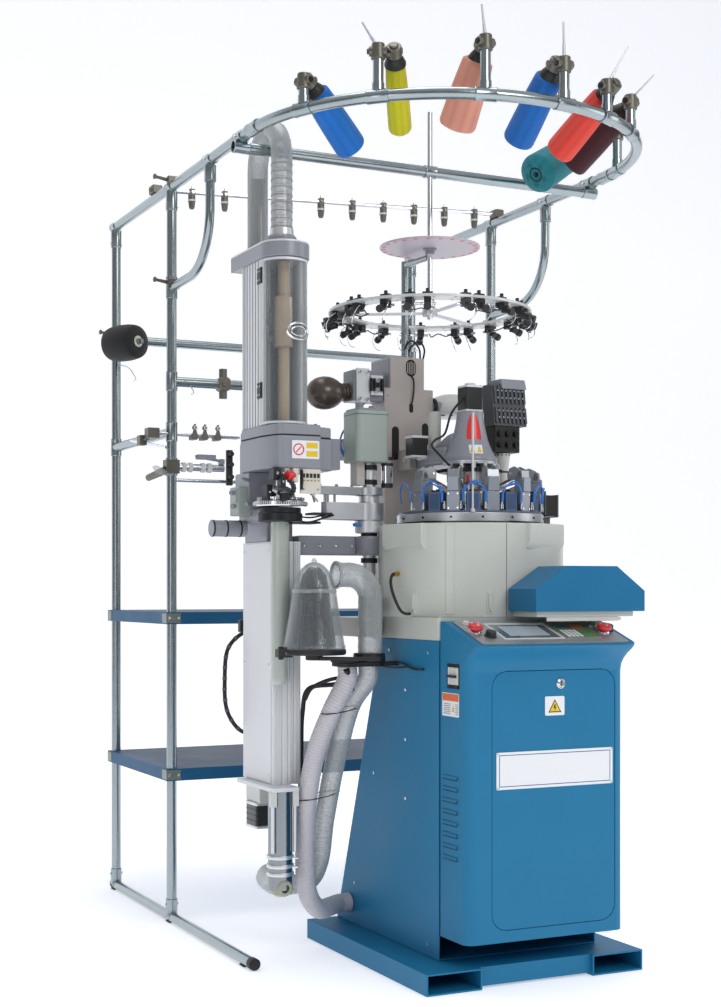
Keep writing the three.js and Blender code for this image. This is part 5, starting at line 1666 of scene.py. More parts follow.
        place("tower_door_edges", [block(x + s * 63.5 - 3, x + s * 63.5 + 3, y - 7, y, low + 3, high - 3)
            for s in (-1, 1)], ACRYLIC, "tower_door", bevel=0.8)
        hinge = []
        for z in (1904, 1584):
            hinge += [block(-615.6, -612, 92, 122, z, z + 44), post(-614, 90, z, z + 44, 4.4, sides=16)]
        place("tower_hinges", hinge, BLACK, bevel=1.0)
        place("hinge_screws", [screw((-615.4, yy, z + d), (-FAR, yy, z + d), 2.4) for z in (1904, 1584)
            for d in (10, 34) for yy in (101, 114)], CHROME)
        t = np.linspace(0, math.tau, 33)

        def oval(out: float, wide: float, tall: float) -> Array:
            """Returns an oval that lies on the door's curve, out from the door's axis."""
            bearing = math.radians(288) + wide * np.cos(t)
            return np.column_stack([x + out * np.cos(bearing), y + out * np.sin(bearing),
                1766 + tall * np.sin(t)])

        place("door_pull", pipe(oval(66.5, 0.6, 23), 3.6, sides=14), CHROME, "tower_door")
        place("door_pull_inner", pipe(oval(66, 0.4, 13), 2.4, sides=12), CHROME, "tower_door")
        self._cap(high)

    def _cap(self, high: float) -> None:
        """Makes the cap: a rounded casting, its bright rim, and a collar for each end of the hose."""
        nose = np.radians(np.linspace(180, 360, 25))
        outline = np.vstack([[(-618, 320), (-618, 90)],
            np.column_stack([TOWER[0] + 71 * np.cos(nose), TOWER[1] + 70 * np.sin(nose)]),
            [(-476, 90), (-476, 320)]])
        place("tower_cap", plate(outline, high + 0.3, 2014), CAST_GREY, stands_for=["link_cap"], bevel=3.0,
            segments=3)
        middle = np.array([TOWER[0], 190])
        place("tower_cap_rim", plate(middle + (outline - middle) * 0.992, 2011, 2018.4), ALU_SATIN, bevel=2.0)
        for name, y, top, finish in (("front", 105, 2043, CAST_GREY), ("rear", 285, 2026, LIGHT_GREY)):
            skin = [(31.4, 2016), (41, 2016), (42, 2019), (42, top - 6), (38, top), (31.4, top)]
            place(f"hose_collar_{name}", lathe(skin, (-547, y, 0), sides=56, loop=True), finish, bevel=0.8)

    def _carriage(self) -> None:
        """Makes the carriage with its sock tube, clamps and rollers."""
        x, y = TOWER
        place("carriage_block", block(-590, -504, 124, 228, 1760, 1850), CAST_GREY, "carriage",
            ["link_carriage"], 2.5)
        place("carriage_tube", hoop(22, 26, 1730, 1870, (x, y + 7, 0), sides=48), TAN, "carriage", bevel=0.8)
        place("carriage_clamp", [block(x - 30, x + 30, 96, 128, z, z + 14) for z in (1764, 1832)], DARK_STEEL,
            "carriage", bevel=1.6)
        place("carriage_rollers", [rod((px, 122, 1805), (px, 112, 1805), 10, sides=28) for px in (-580, -514)],
            DARK_GREY, "carriage", bevel=1.0)
        place("tower_long_tubes", [pipe([(x + 4, y + 12, 1515), (x + 4, y + 12, 1970)], 17, 15.4, 40)], TAN)


# ---------------------------------------------------------------- filter cup and hoses


@dataclass
class FilterCup:
    """The clear lint cup with a mesh cone in it, on its hinged foot, and the elbow that leaves it."""

    centre: tuple[float, float] = (-503, -20)

    def build(self) -> None:
        """Makes the bell, its inner mesh, the foot and lever, then the elbow and hose plate."""
        x, y = self.centre
        outer = np.array([(0, 1127), (14, 1125), (26, 1118), (37, 1107), (46, 1094), (53, 1076), (59, 1056),
            (64.4, 1020), (70, 980), (76, 945), (81, 918), (84, 900), (86.4, 897), (86.4, 888)])
        inner = outer[::-1] + np.array([-2.6, -1.2])
        inner[:, 0] = np.clip(inner[:, 0], 0, None)
        place("filter_bell", lathe(np.vstack([outer, inner]), (x, y, 0), sides=88, loop=True), CLEAR,
            stands_for=["filter_cup"], sharp=60)
        band = [(59.6, 1042), (61.8, 1042), (62.0, 1047), (60.6, 1052), (59, 1052)]
        place("bell_band", lathe(band, (x, y, 0), sides=88, loop=True), CLEAR_HOSE)
        place("bell_tip", lathe([(0, 1126), (7, 1126), (8, 1130), (5, 1136), (0, 1138)], (x, y, 0), sides=32),
            CLEAR_HOSE)
        mesh = [(16, 1112), (30, 1094), (38, 1056), (46, 980), (58, 900), (60, 892), (57, 892), (55, 900),
            (43, 980), (35, 1056), (28, 1092), (16, 1109)]
        place("filter_mesh", lathe(mesh, (x, y, 0), sides=72, loop=True), LINT_MESH)
        ribs = []
        for a in np.arange(0, 360, 30):
            c, s = math.cos(math.radians(a)), math.sin(math.radians(a))
            ribs.append(pipe([(x + r * c, y + r * s, z) for r, z in ((31, 1094), (39.6, 1056), (47.4, 980),
                (59.4, 900))], 1.3, sides=6))
        hoops = [hoop(r - 1, r + 1.4, z - 1.2, z + 1.2, (x, y, 0), sides=56)
            for r, z in ((38.4, 1056), (42.6, 1018), (46.6, 980), (52.6, 940))]
        place("mesh_frame", ribs + hoops, DARK_GREY)
        self._foot()
        self._elbow()

    def _foot(self) -> None:
        """Makes the round foot with its rim and arm, the thumb lever and the hinge block."""
        x, y = self.centre
        place("cup_foot", lathe([(0, 872), (84, 872), (88, 875), (88, 885), (86, 887.6), (0, 887.6)],
            (x, y, 0), sides=88), BLACK, stands_for=["cup_base"], bevel=0.8)
        place("cup_foot_arm",
            [block(-528, -488, 30, 112.7, 872, 887.6), block(-530, -486, 92, 112.7, 866, 900)], BLACK,
            bevel=2.0)
        lever = [(-503, -38), (-460, -70), (-420, -98), (-380, -120), (-354, -129), (-346, -122), (-350, -112),
            (-388, -94), (-440, -50), (-494, -2)]
        place("thumb_lever",
            [lathe([(0, 857), (22, 857), (24, 859), (24, 871.6), (0, 871.6)], (x, y, 0), sides=40),
                plate(lever, 856.6, 867)], BLACK, "clamp_lever", ["cup_lever"], 2.4, 3)
        place("cup_hinge", [block(-612, -570, -30, 0, 866, 890), post(-600, -15, 860, 896, 8),
            block(-600, -580, -28, -2, 884, 894)], BLACK, bevel=3.0, segments=3)
        place("cup_hinge_pin", [rod((-590, -30, 878), (-590, -34, 878), 5),
            rod((-580, -30, 882), (-580, -36, 882), 3)], CHROME)

    def _elbow(self) -> None:
        """Makes the clear elbow in joined segments with raised rings, and the dark hose plate."""
        line = resample(np.vstack([[(-440, -20, 1092), (-400, -20, 1092)],
            bezier((-398, -20, 1092), (-361, -20, 1092), (-331, -20, 1062), (-331, -20, 1024), 24),
            [(-332, -20, 940), (-333, -20, 852)]]), 70)
        s = np.linspace(0, 1, 70)
        bumps = 34 + 1.2 * np.exp(-(((s * 12) % 1 - 0.5) / 0.09) ** 2)
        place("clear_bend", pipe(line, bumps, bumps * 0 + 31.4, 56), CLEAR_HOSE, stands_for=["clear_elbow"],
            sharp=60)
        place("bend_flange", [hoop(31.6, 39, 0, 7, (-440, -20, 1092), (-300, -20, 1092), 48)], CLEAR_HOSE,
            bevel=1.0)
        place("grey_support", block(-330, -262, 30, 66, 990, 1030), CAST_GREY, bevel=4.0)
        foot = [plate(rounded(-440, -300, -64, 22, 26, 8), 838, 850), block(-320, -250.3, -40, 0, 838, 850)]
        place("hose_yoke", foot, BLACK, stands_for=["hose_plate"], bevel=2.4, segments=3)
        rings = [lathe([(33, z), (44, z), (46, z + 3), (44, z + h), (33, z + h)], (px, -22, 0), sides=56,
            loop=True) for px, z, h in ((-336, 850, 24), (-405, 850, 5.5))]
        place("hose_yoke_rings", rings, BLACK, bevel=1.2)
        place("yoke_tail", [rod((-420, -50, 832), (-398, -36, 800), 9, 7),
            rod((-398, -40, 802), (-392, -30, 770), 7, 6)], BLACK, bevel=1.6)
        wires = [spline([(-262, -30, 846), (-256, -70, 846), (-255, -110, 836), (-255, -150, 832),
            (-254, -190, 834)], 30),
            spline([(-330, -48, 842), (-312, -84, 838), (-286, -96, 836), (-260, -110, 838)], 24)]
        place("yoke_wires", [pipe(w, 2.8, sides=8) for w in wires], RUBBER)


# The middles of the hoses and the lead, from their upper ends down.
WHITE_ROUTE = ((-405, -25, 836.5), (-405, -25, 806), (-440, 0, 715), (-468, 44, 600), (-482, 70, 476),
    (-474, 112, 310), (-444, 156, 180), (-392, 200, 124), (-334, 250, 116), (-288, 282, 116),
    (-253.5, 284, 116))
CLEAR_ROUTE = ((-338, -20, 836.5), (-339, -20, 806), (-369, 22, 735), (-398, 61, 581), (-408, 120, 400),
    (-405, 172, 262), (-414, 222, 205), (-455, 252, 190), (-508, 240, 195), (-550, 212, 222), (-560, 172, 243),
    (-560, 134, 245))
LEAD_ROUTE = ((-530, 350, 930), (-560, 372, 922), (-600, 384, 880), (-612, 384, 790), (-604, 382, 690),
    (-566, 372, 634), (-530, 350, 625))


@dataclass
class Hoses:
    """The two suction hoses, the sock return hose over the tower, and the column's lead.

    Attributes:
        pitch: Distance between the ribs of a suction hose.
    """

    pitch: float = 9.0

    def ribbed(self, line: Array, radius: float, depth: float, pitch: float | None = None,
            sides: int = 28) -> tuple[Shape, Array]:
        """A corrugated hose: radius - depth (1 - cos(2 pi s / pitch)) / 2 at run s.

        Args:
            line: Its middle.
            radius: Radius over the ribs.
            depth: How deep the valleys are.
            pitch: Distance between ribs; the class's own if left out.
            sides: Points round it.

        Returns:
            The hose and the points along its middle.
        """
        whole = length_of(line)
        step = pitch or self.pitch
        count = int(whole / step * 6) + 1
        path = resample(line, count)
        wave = (1 - np.cos(np.linspace(0, whole, count) / step * math.tau)) / 2
        outer = radius - depth * wave
        return pipe(path, outer, outer - 1.6, sides), path

    def build(self) -> None:
        """Makes each hose along its route, then the ties that hold them together."""
        line = spline(WHITE_ROUTE, 400)
        shape, path = self.ribbed(line, 28, 1.1)
        white = place("white_suction_hose", shape, HOSE_GREY, stands_for=["white_hose"], sharp=70)
        line = spline(CLEAR_ROUTE, 400)
        shape, path = self.ribbed(line, 29, 0.7, 12.0)
        clear = place("clear_suction_hose", shape, CLEAR_HOSE, stands_for=["clear_hose"], sharp=70)
        self._return_hose()
        self._lead()
        self._ties()

    def _return_hose(self) -> None:
        """Makes the clear hose that leaves the tower's cap, bends over and drops down the back."""
        up = np.column_stack([np.full(20, -547.0), np.full(20, 105.0), np.linspace(1998.6, 2262, 20)])
        over = bezier((-547, 105, 2262), (-547, 105, 2392), (-547, 285, 2392), (-547, 285, 2262), 60)
        down = np.column_stack([np.full(40, -547.0), np.full(40, 285.0), np.linspace(2262, 1508.6, 40)])
        line = np.vstack([up, over[1:], down[1:]])
        whole = length_of(line)
        path = resample(line, 400)
        s = np.linspace(0, whole, 400)
        joint = np.exp(-((((s + 22) % 44) - 22) / 2.0) ** 2) * (s < 500)
        shape = pipe(path, 30.2 + 0.8 * joint, 28.6, 48)
        hose = place("sock_return_tube", shape, CLEAR_HOSE, stands_for=["sock_return_hose"], sharp=70)
        bands = [hoop(30.4, 31.6, z, z + 1.8, (-547, 105, 0), sides=48) for z in np.arange(2066, 2262, 22)]
        place("return_tube_hoops", bands, HOOP)
        place("return_tube_sleeve", hoop(31.2, 33.4, 2018, 2062, (-547, 105, 0), sides=56), GROUND_STEEL,
            bevel=0.6)
        place("rear_tube_lining", pipe([(-547, 285, 2030), (-547, 285, 2240)], 28.2, 27.4, 48), LINING)

    def _lead(self) -> None:
        """Makes the column's black lead with its plug block at the top."""
        path = spline(LEAD_ROUTE, 90)
        lead = place("column_power_lead", pipe(path, 6, sides=16), RUBBER, stands_for=["column_cable"])
        place("lead_ties",
            [rod(path[i] - (path[i + 1] - path[i]), path[i] + (path[i + 1] - path[i]), 7.0, sides=16)
                for i in range(14, 86, 7)], DARK_GREY)
        place("lead_plug", [block(-562, -526, 343.4, 362, 906, 950), block(-578, -552, 346, 366, 926, 962)],
            BLACK, bevel=2.4)

    def _ties(self) -> None:
        """Makes the thin dark ties round both hoses, and the leads between them."""
        ties = []
        for z, w, c in ((715, (-440, 0), (-374, 27)), (470, (-482, 71), (-404, 96))):
            t = np.linspace(0, math.tau, 49)
            mid = (np.array(w) + np.array(c)) / 2.0
            span = np.array(c, float) - np.array(w, float)
            reach = np.linalg.norm(span) / 2
            u = span / (2 * reach)
            v = np.array([-u[1], u[0]])
            along, across = (reach + 33) * np.cos(t), 33 * np.sin(t)
            ties.append(pipe(np.column_stack([mid[0] + along * u[0] + across * v[0], mid[1] + along * u[1]
                + across * v[1], z + 8 * np.cos(t)]), 1.6, sides=8))
        place("hose_ties", ties, RUBBER)
        leads = [spline([(-398, 6, 800), (-410, 40, 786), (-470, 96, 770), (-478, 118, 700), (-480, 122, 600),
            (-482, 124, 500), (-484, 128, 440)], 60),
            spline([(-402, 0, 806), (-430, 30, 800), (-466, 84, 772), (-476, 104, 740)], 30)]
        place("hose_leads", [pipe(line, r, sides=12) for line, r in zip(leads, (6.5, 5.5))], RUBBER)


# ---------------------------------------------------------------- creel


@dataclass(frozen=True)
class Holder:
    """One yarn holder on the ring, with its cone.

    Attributes:
        name: Yarn colour.
        clamp: X and Y of its clamp on the ring.
        top: Narrow end of the cone.
        end: Wide end of the cone.
        r: Wound radius at each end.
        tip: Tip of its aerial, if it has one.
        colour: Yarn colour, sRGB hex.
    """

    name: str
    clamp: tuple[float, float]
    top: tuple[float, float, float]
    end: tuple[float, float, float]
    r: tuple[float, float]
    tip: tuple[float, float, float] | None
    colour: str


# The seven holders round the ring, from the left.
HOLDERS = (Holder("blue_a", (-590, -147), (-544, -119, 2382), (-398, -42, 2269), (38, 45), None, "0A70CA"),
    Holder("yellow", (-459, -327), (-399, -306, 2424), (-308, -158, 2300), (27, 33), (-492, -300, 2520),
        "CBC60A"), Holder("salmon", (-218, -462), (-202, -398, 2435), (-204, -283, 2288), (42, 52),
        (-222, -450, 2560), "E29A84"), Holder("blue_b", (10, -480), (-1, -425, 2411), (0, -261, 2281),
        (38, 45), (14, -470, 2545), "0C68BC"), Holder("red", (177, -434), (192, -399, 2392), (162, -216, 2282),
        (36, 43), (232, -458, 2520), "F24A3A"), Holder("maroon", (316, -346), (322, -296, 2394),
        (266, -124, 2282), (36, 45), (364, -391, 2480), "3E1019"),
    Holder("teal", (514, -1), (452, 64, 2424), (216, -12, 2276), (45, 60), None, "16808A"))


@dataclass
class Creel:
    """Tube frame over and behind the machine, with its ring, shelves and joints.

    Attributes:
        left: X of the left posts.
        right: X of the right posts.
        front: Y of the front posts.
        rear: Y of the rear posts.
        ring: Centre X, centre Y, radius and height of the ring.
        tube: Tube radius.
    """

    left: float = -645
    right: float = 523
    front: float = 770
    rear: float = 1370
    ring: tuple[float, float, float, float] = (-61, 100, 584, 2325)
    tube: float = 16

    def build(self) -> None:
        """Makes the tubes, then the sleeves, trays, end caps and what the left arms carry."""
        self._tubes()
        self._sleeves()
        self._shelves()
        self._caps()
        self._side_arms()

    def _tubes(self) -> None:
        """Makes the ring and rails in one line, the posts, feet, braces and cross tubes."""
        x0, y0, r, z = self.ring
        t = np.radians(np.linspace(180, 360, 97))
        arc = np.column_stack([x0 + r * np.cos(t), y0 + r * np.sin(t), np.full(97, z)])
        rail = np.vstack([[(self.left, self.rear + 12, z), (self.left, 700, z), (self.left, 110, z)], arc,
            [(self.right, 110, z), (self.right, 700, z), (self.right, self.rear + 12, z)]])
        q, hub = self.tube, HUB
        parts = [pipe(rail, q, sides=28)]
        for x in (self.left, self.right):
            parts += [post(x, y, 20, z, q, sides=28) for y in (self.front, self.rear)]
            parts += [rod((x, 80, 17), (x, self.rear + 24, 17), q, sides=28)]
            bend = np.vstack([[(x, self.front, 2006), (x, 600, 2010)],
                bezier((x, 600, 2010), (x, 500, 2012), (x, 424, 2080), (x, 420, 2180))[1:], [(x, 418, z)]])
            parts.append(pipe(bend, 14, sides=24))
        parts += [rod((self.left, hub[1], z - 28), (self.right, hub[1], z - 28), q, sides=28),
            rod((self.left, self.rear, 1930), (self.right, self.rear, 1930), q, sides=28),
            rod((self.left, self.front, 1550), (self.left, self.rear, 1550), q, sides=28),
            rod((self.left, self.front, 1710), (-380, self.front, 1710), q, sides=28)]
        place("creel_tubes", parts, ZINC, stands_for=["creel_frame"])
        thin = [rod((self.left, self.front, 1440), (-470, self.front, 1440), 12),
            rod((*hub, 1856), (*hub, 2475), 8, sides=24), rod((self.left, 930, 2352), (self.right, 730, 2352),
                7, sides=16), rod((self.left, self.front + 24, 1400), (-380, self.front + 24, 1400), 6),
            rod((self.left - 20, 1130, 1552), (self.left - 20, 760, 1500), 5)]
        place("creel_rods", thin, CHROME)
        place("disc_support", [post(-52, 310, 1757.4, 2055, 11.6, sides=24),
            rod((-52, 310, 2044), (hub[0], hub[1] + 8.6, 2044), 8.8, sides=20)], ZINC)

    def sleeve(self, at: Point, way: Point, half: float = 34, extra: float = 2.6) -> list[Shape]:
        """A pressed tee sleeve: a tube round the joint with rolled ends.

        Args:
            at: Its middle.
            way: Direction of its tube.
            half: Half its length.
            extra: Its wall.

        Returns:
            The sleeve's shapes.
        """
        a = np.asarray(at, float)
        w = np.asarray(way, float) / np.linalg.norm(way)
        q = self.tube + extra
        return [lathe([(self.tube - 1, -half), (q, -half), (q + 0.8, -half + 2), (q, -half + 5), (q, half - 5),
            (q + 0.8, half - 2), (q, half), (self.tube - 1, half)], a, a + w, 28, True)]

    def _sleeves(self) -> None:
        """Adds sleeves and clamp screws where tubes meet."""
        z = self.ring[3]
        across, back, up = np.eye(3)
        parts, screws = [], []
        for x in (self.left, self.right):
            for y in (self.front, self.rear):
                for h, way, half, wall in ((z - 44, up, 30, 2.6), (z, back, 23, 2.6), (46, up, 28, 2.6),
                        (18, back, 23, 0.8)):
                    parts += self.sleeve((x, y, h), way, half, wall)
                screws += [rod((x - 22, y, z - 60), (x + 22, y, z - 60), 4, sides=10),
                    rod((x - 22, y, 56), (x + 22, y, 56), 4, sides=10)]
            for y, h in ((418, z - 42), (HUB[1], z - 28)):
                parts += self.sleeve((x, y, h), up if y > 300 else across, 24, 1.8)
                parts += self.sleeve((x, y, z), back, 28)
                screws += [rod((x - 22, y, z), (x + 22, y, z), 4, sides=10)]
            parts += self.sleeve((x, self.front, 2006), up, 34)
        for x, y, h, half in ((self.left, self.rear, 1930, 34), (self.right, self.rear, 1930, 34),
                (self.left, self.front, 1710, 30), (self.left, self.front, 1550, 30),
                (self.left, self.rear, 1550, 30), (self.left, self.front, 1440, 28)):
            parts += self.sleeve((x, y, h), up, half)
        parts += self.sleeve((*HUB, z - 28), across, 20)
        x0, y0, r = self.ring[:3]
        for a in (183, 357):
            t = math.radians(a)
            parts += self.sleeve((x0 + r * math.cos(t), y0 + r * math.sin(t), z),
                (-math.sin(t), math.cos(t), 0), 30)
        place("tee_sleeves", parts, ZINC, sharp=50)
        wing, x = [], self.left
        for y, h in ((self.front, 2006), (self.rear, 1930), (self.front, z + 4)):
            wing += [rod((x - 12, y - 10, h + 14), (x - 60, y - 20, h + 18), 6, 5, sides=14),
                lathe([(0, 0), (9, 1), (9, 8), (0, 10)], (x - 58, y - 20, h + 18), (x - 90, y - 24, h + 20),
                    14), block(x - 20, x + 20, y - 26, y - 8, h - 6, h + 26)]
        place("frame_clamps", wing, CASTING_ZINC, bevel=3.0)
        place("sleeve_screws", screws, CHROME)

    def _shelves(self) -> None:
        """Makes the trays and the pressed brackets at their corners."""
        for node, z in (("shelf_upper", 980), ("shelf_lower", 486)):
            refine(node, SHELF_BLUE, 1.6)
            brackets, heads = [], []
            for x in (self.left, self.right):
                for y in (self.front, self.rear):
                    brackets += [block(x - 22.4, x + 22.4, y - 24.6, y - 22.6, z - 34, z - 4),
                        hoop(16.4, 19, -36, -2, (x, y, z), sides=32),
                        block(x - 24.6, x - 22.6, y - 22, y + 22, z - 34, z - 4) if x < 0
                        else block(x + 20.8, x + 22.8, y - 22, y + 22, z - 34, z - 4)]
                    heads += [screw((x + d, y - 24.4, z - 19), (x + d, y - 900, z - 19), 4) for d in (-15, 15)]
            place(f"{node}_brackets", brackets, BRACKET, bevel=0.8)
            place(f"{node}_screws", heads, CHROME)
            # A greyer blue layer over each tray's whole top.
            place(f"{node}_mat", block(self.left + 24, self.right - 24, self.front - 20, self.rear + 20,
                z - 2.6, z + 0.4), SHELF_TOP_GREY, bevel=0.3)

    def _caps(self) -> None:
        """Makes the rubber feet and plugs at the open tube ends."""
        caps = []
        for x in (self.left, self.right):
            for y, way in ((66, -1), (self.rear + 16, 1)):
                caps.append(lathe([(0, -8), (12, -8), (17, -4), (17, 20), (16.2, 22), (0, 22)], (x, y, 17),
                    (x, y - way * 90, 17), 32))
            caps.append(rod((x, self.rear + 12, self.ring[3]), (x, self.rear + 16, self.ring[3]), 15, sides=24))
        place("tube_end_caps", caps, RUBBER, bevel=1.0)
        place("floor_pads", [block(x - 14, x + 14, y - 18, y + 18, 0.2, 4) for x in (self.left, self.right)
            for y in (self.front, self.rear, 130)], RUBBER, bevel=1.0)

    def _side_arms(self) -> None:
        """Makes the thread guides, nozzle, stop bar, vane and hooks on the left of the frame."""
        y = self.front
        guides, eyes = [], []
        for gx in (-572, -538, -494):
            guides += [plate([(gx - 13, 1532), (gx + 13, 1532), (gx + 7, 1552), (gx + 3, 1562), (gx - 3, 1562),
                (gx - 7, 1552)], y - 16, y - 10, "xzy"), rod((gx, y - 18, 1566), (gx, y - 6, 1566), 8,
                sides=20), post(gx, y - 13, 1558, 1578, 4, sides=12),
                block(gx - 9, gx + 9, y - 17, y + 22, 1528, 1546)]
            eyes.append(lathe([(3, -1.6), (5.6, -1.6), (6.4, 0), (5.6, 1.6), (3, 1.6)], (gx, y - 20, 1566),
                (gx, -900, 1566), 20, True))
        guides += [block(-728, -690, y - 18, y + 22, 1528, 1560),
            block(-740, -716, y + 30, y + 62, 1508, 1540), rod((-700, y, 1545), (-728, y + 46, 1524), 9)]
        guides += [block(-668, -624, y - 20, y + 20, 1418, 1462),
            rod((-668, y - 8, 1428), (-690, 870, 1410), 13, 11)]
        guides += [plate(rounded(-492, -452, 1688, 1732, 12), y - 19, y + 19, "xzy"),
            post(-472, y, 1732, 1760, 13), post(-472, y, 1664, 1690, 13),
            rod((-472, y - 23, 1710), (-472, y + 23, 1710), 10)]
        place("thread_guides", guides, CASTING_ZINC, bevel=1.8)
        place("guide_eyes", eyes, PORCELAIN)
        place("guide_rods", [rod((-706, y + d, 1545), (-418, y + d, 1541), 4.4, sides=14) for d in (-6, 18)],
            CHROME)
        place("arm_cuffs", [rod((a, y, 1440), (a + 13, y, 1440), 15.6, sides=24)
            for a in (-612, -590, -548, -526)], LIGHT_GREY, bevel=1.0)
        nozzle = [block(-562, -500, y - 14, y + 10, 1466, 1482), rod((-566, y - 2, 1476), (-470, y - 2, 1462),
            6, 4), block(-486, -470, y - 12, y + 8, 1452, 1470)]
        place("yarn_nozzle", nozzle, CAST_GREY, bevel=1.6)
        knobs = [rod((-452, y - 10, z), (-452, y - 30, z), 8, sides=18) for z in (1486, 1452, 1412)]
        place("stop_bar", [block(-462, -442, y - 11, y + 3, 1386, 1500), *knobs], BLACK, bevel=1.6)
        place("clear_vane",
            plate([(-716, 1437), (-700, 1442), (-664, 1424), (-657, 1412), (-668, 1408), (-704, 1420)], y - 20,
                y - 17, "xzy"), CLEAR_HOSE, bevel=0.4)
        hook = spline([(-645, 1370, 1842), (-630, 1352, 1838), (-610, 1330, 1826), (-596, 1318, 1800),
            (-590, 1316, 1786), (-600, 1316, 1780)], 30)
        place("wire_hooks",
            [pipe(hook, 2.0, sides=8), pipe(hook + np.array([14, -560, -110.0]), 2.0, sides=8)], GROUND_STEEL)


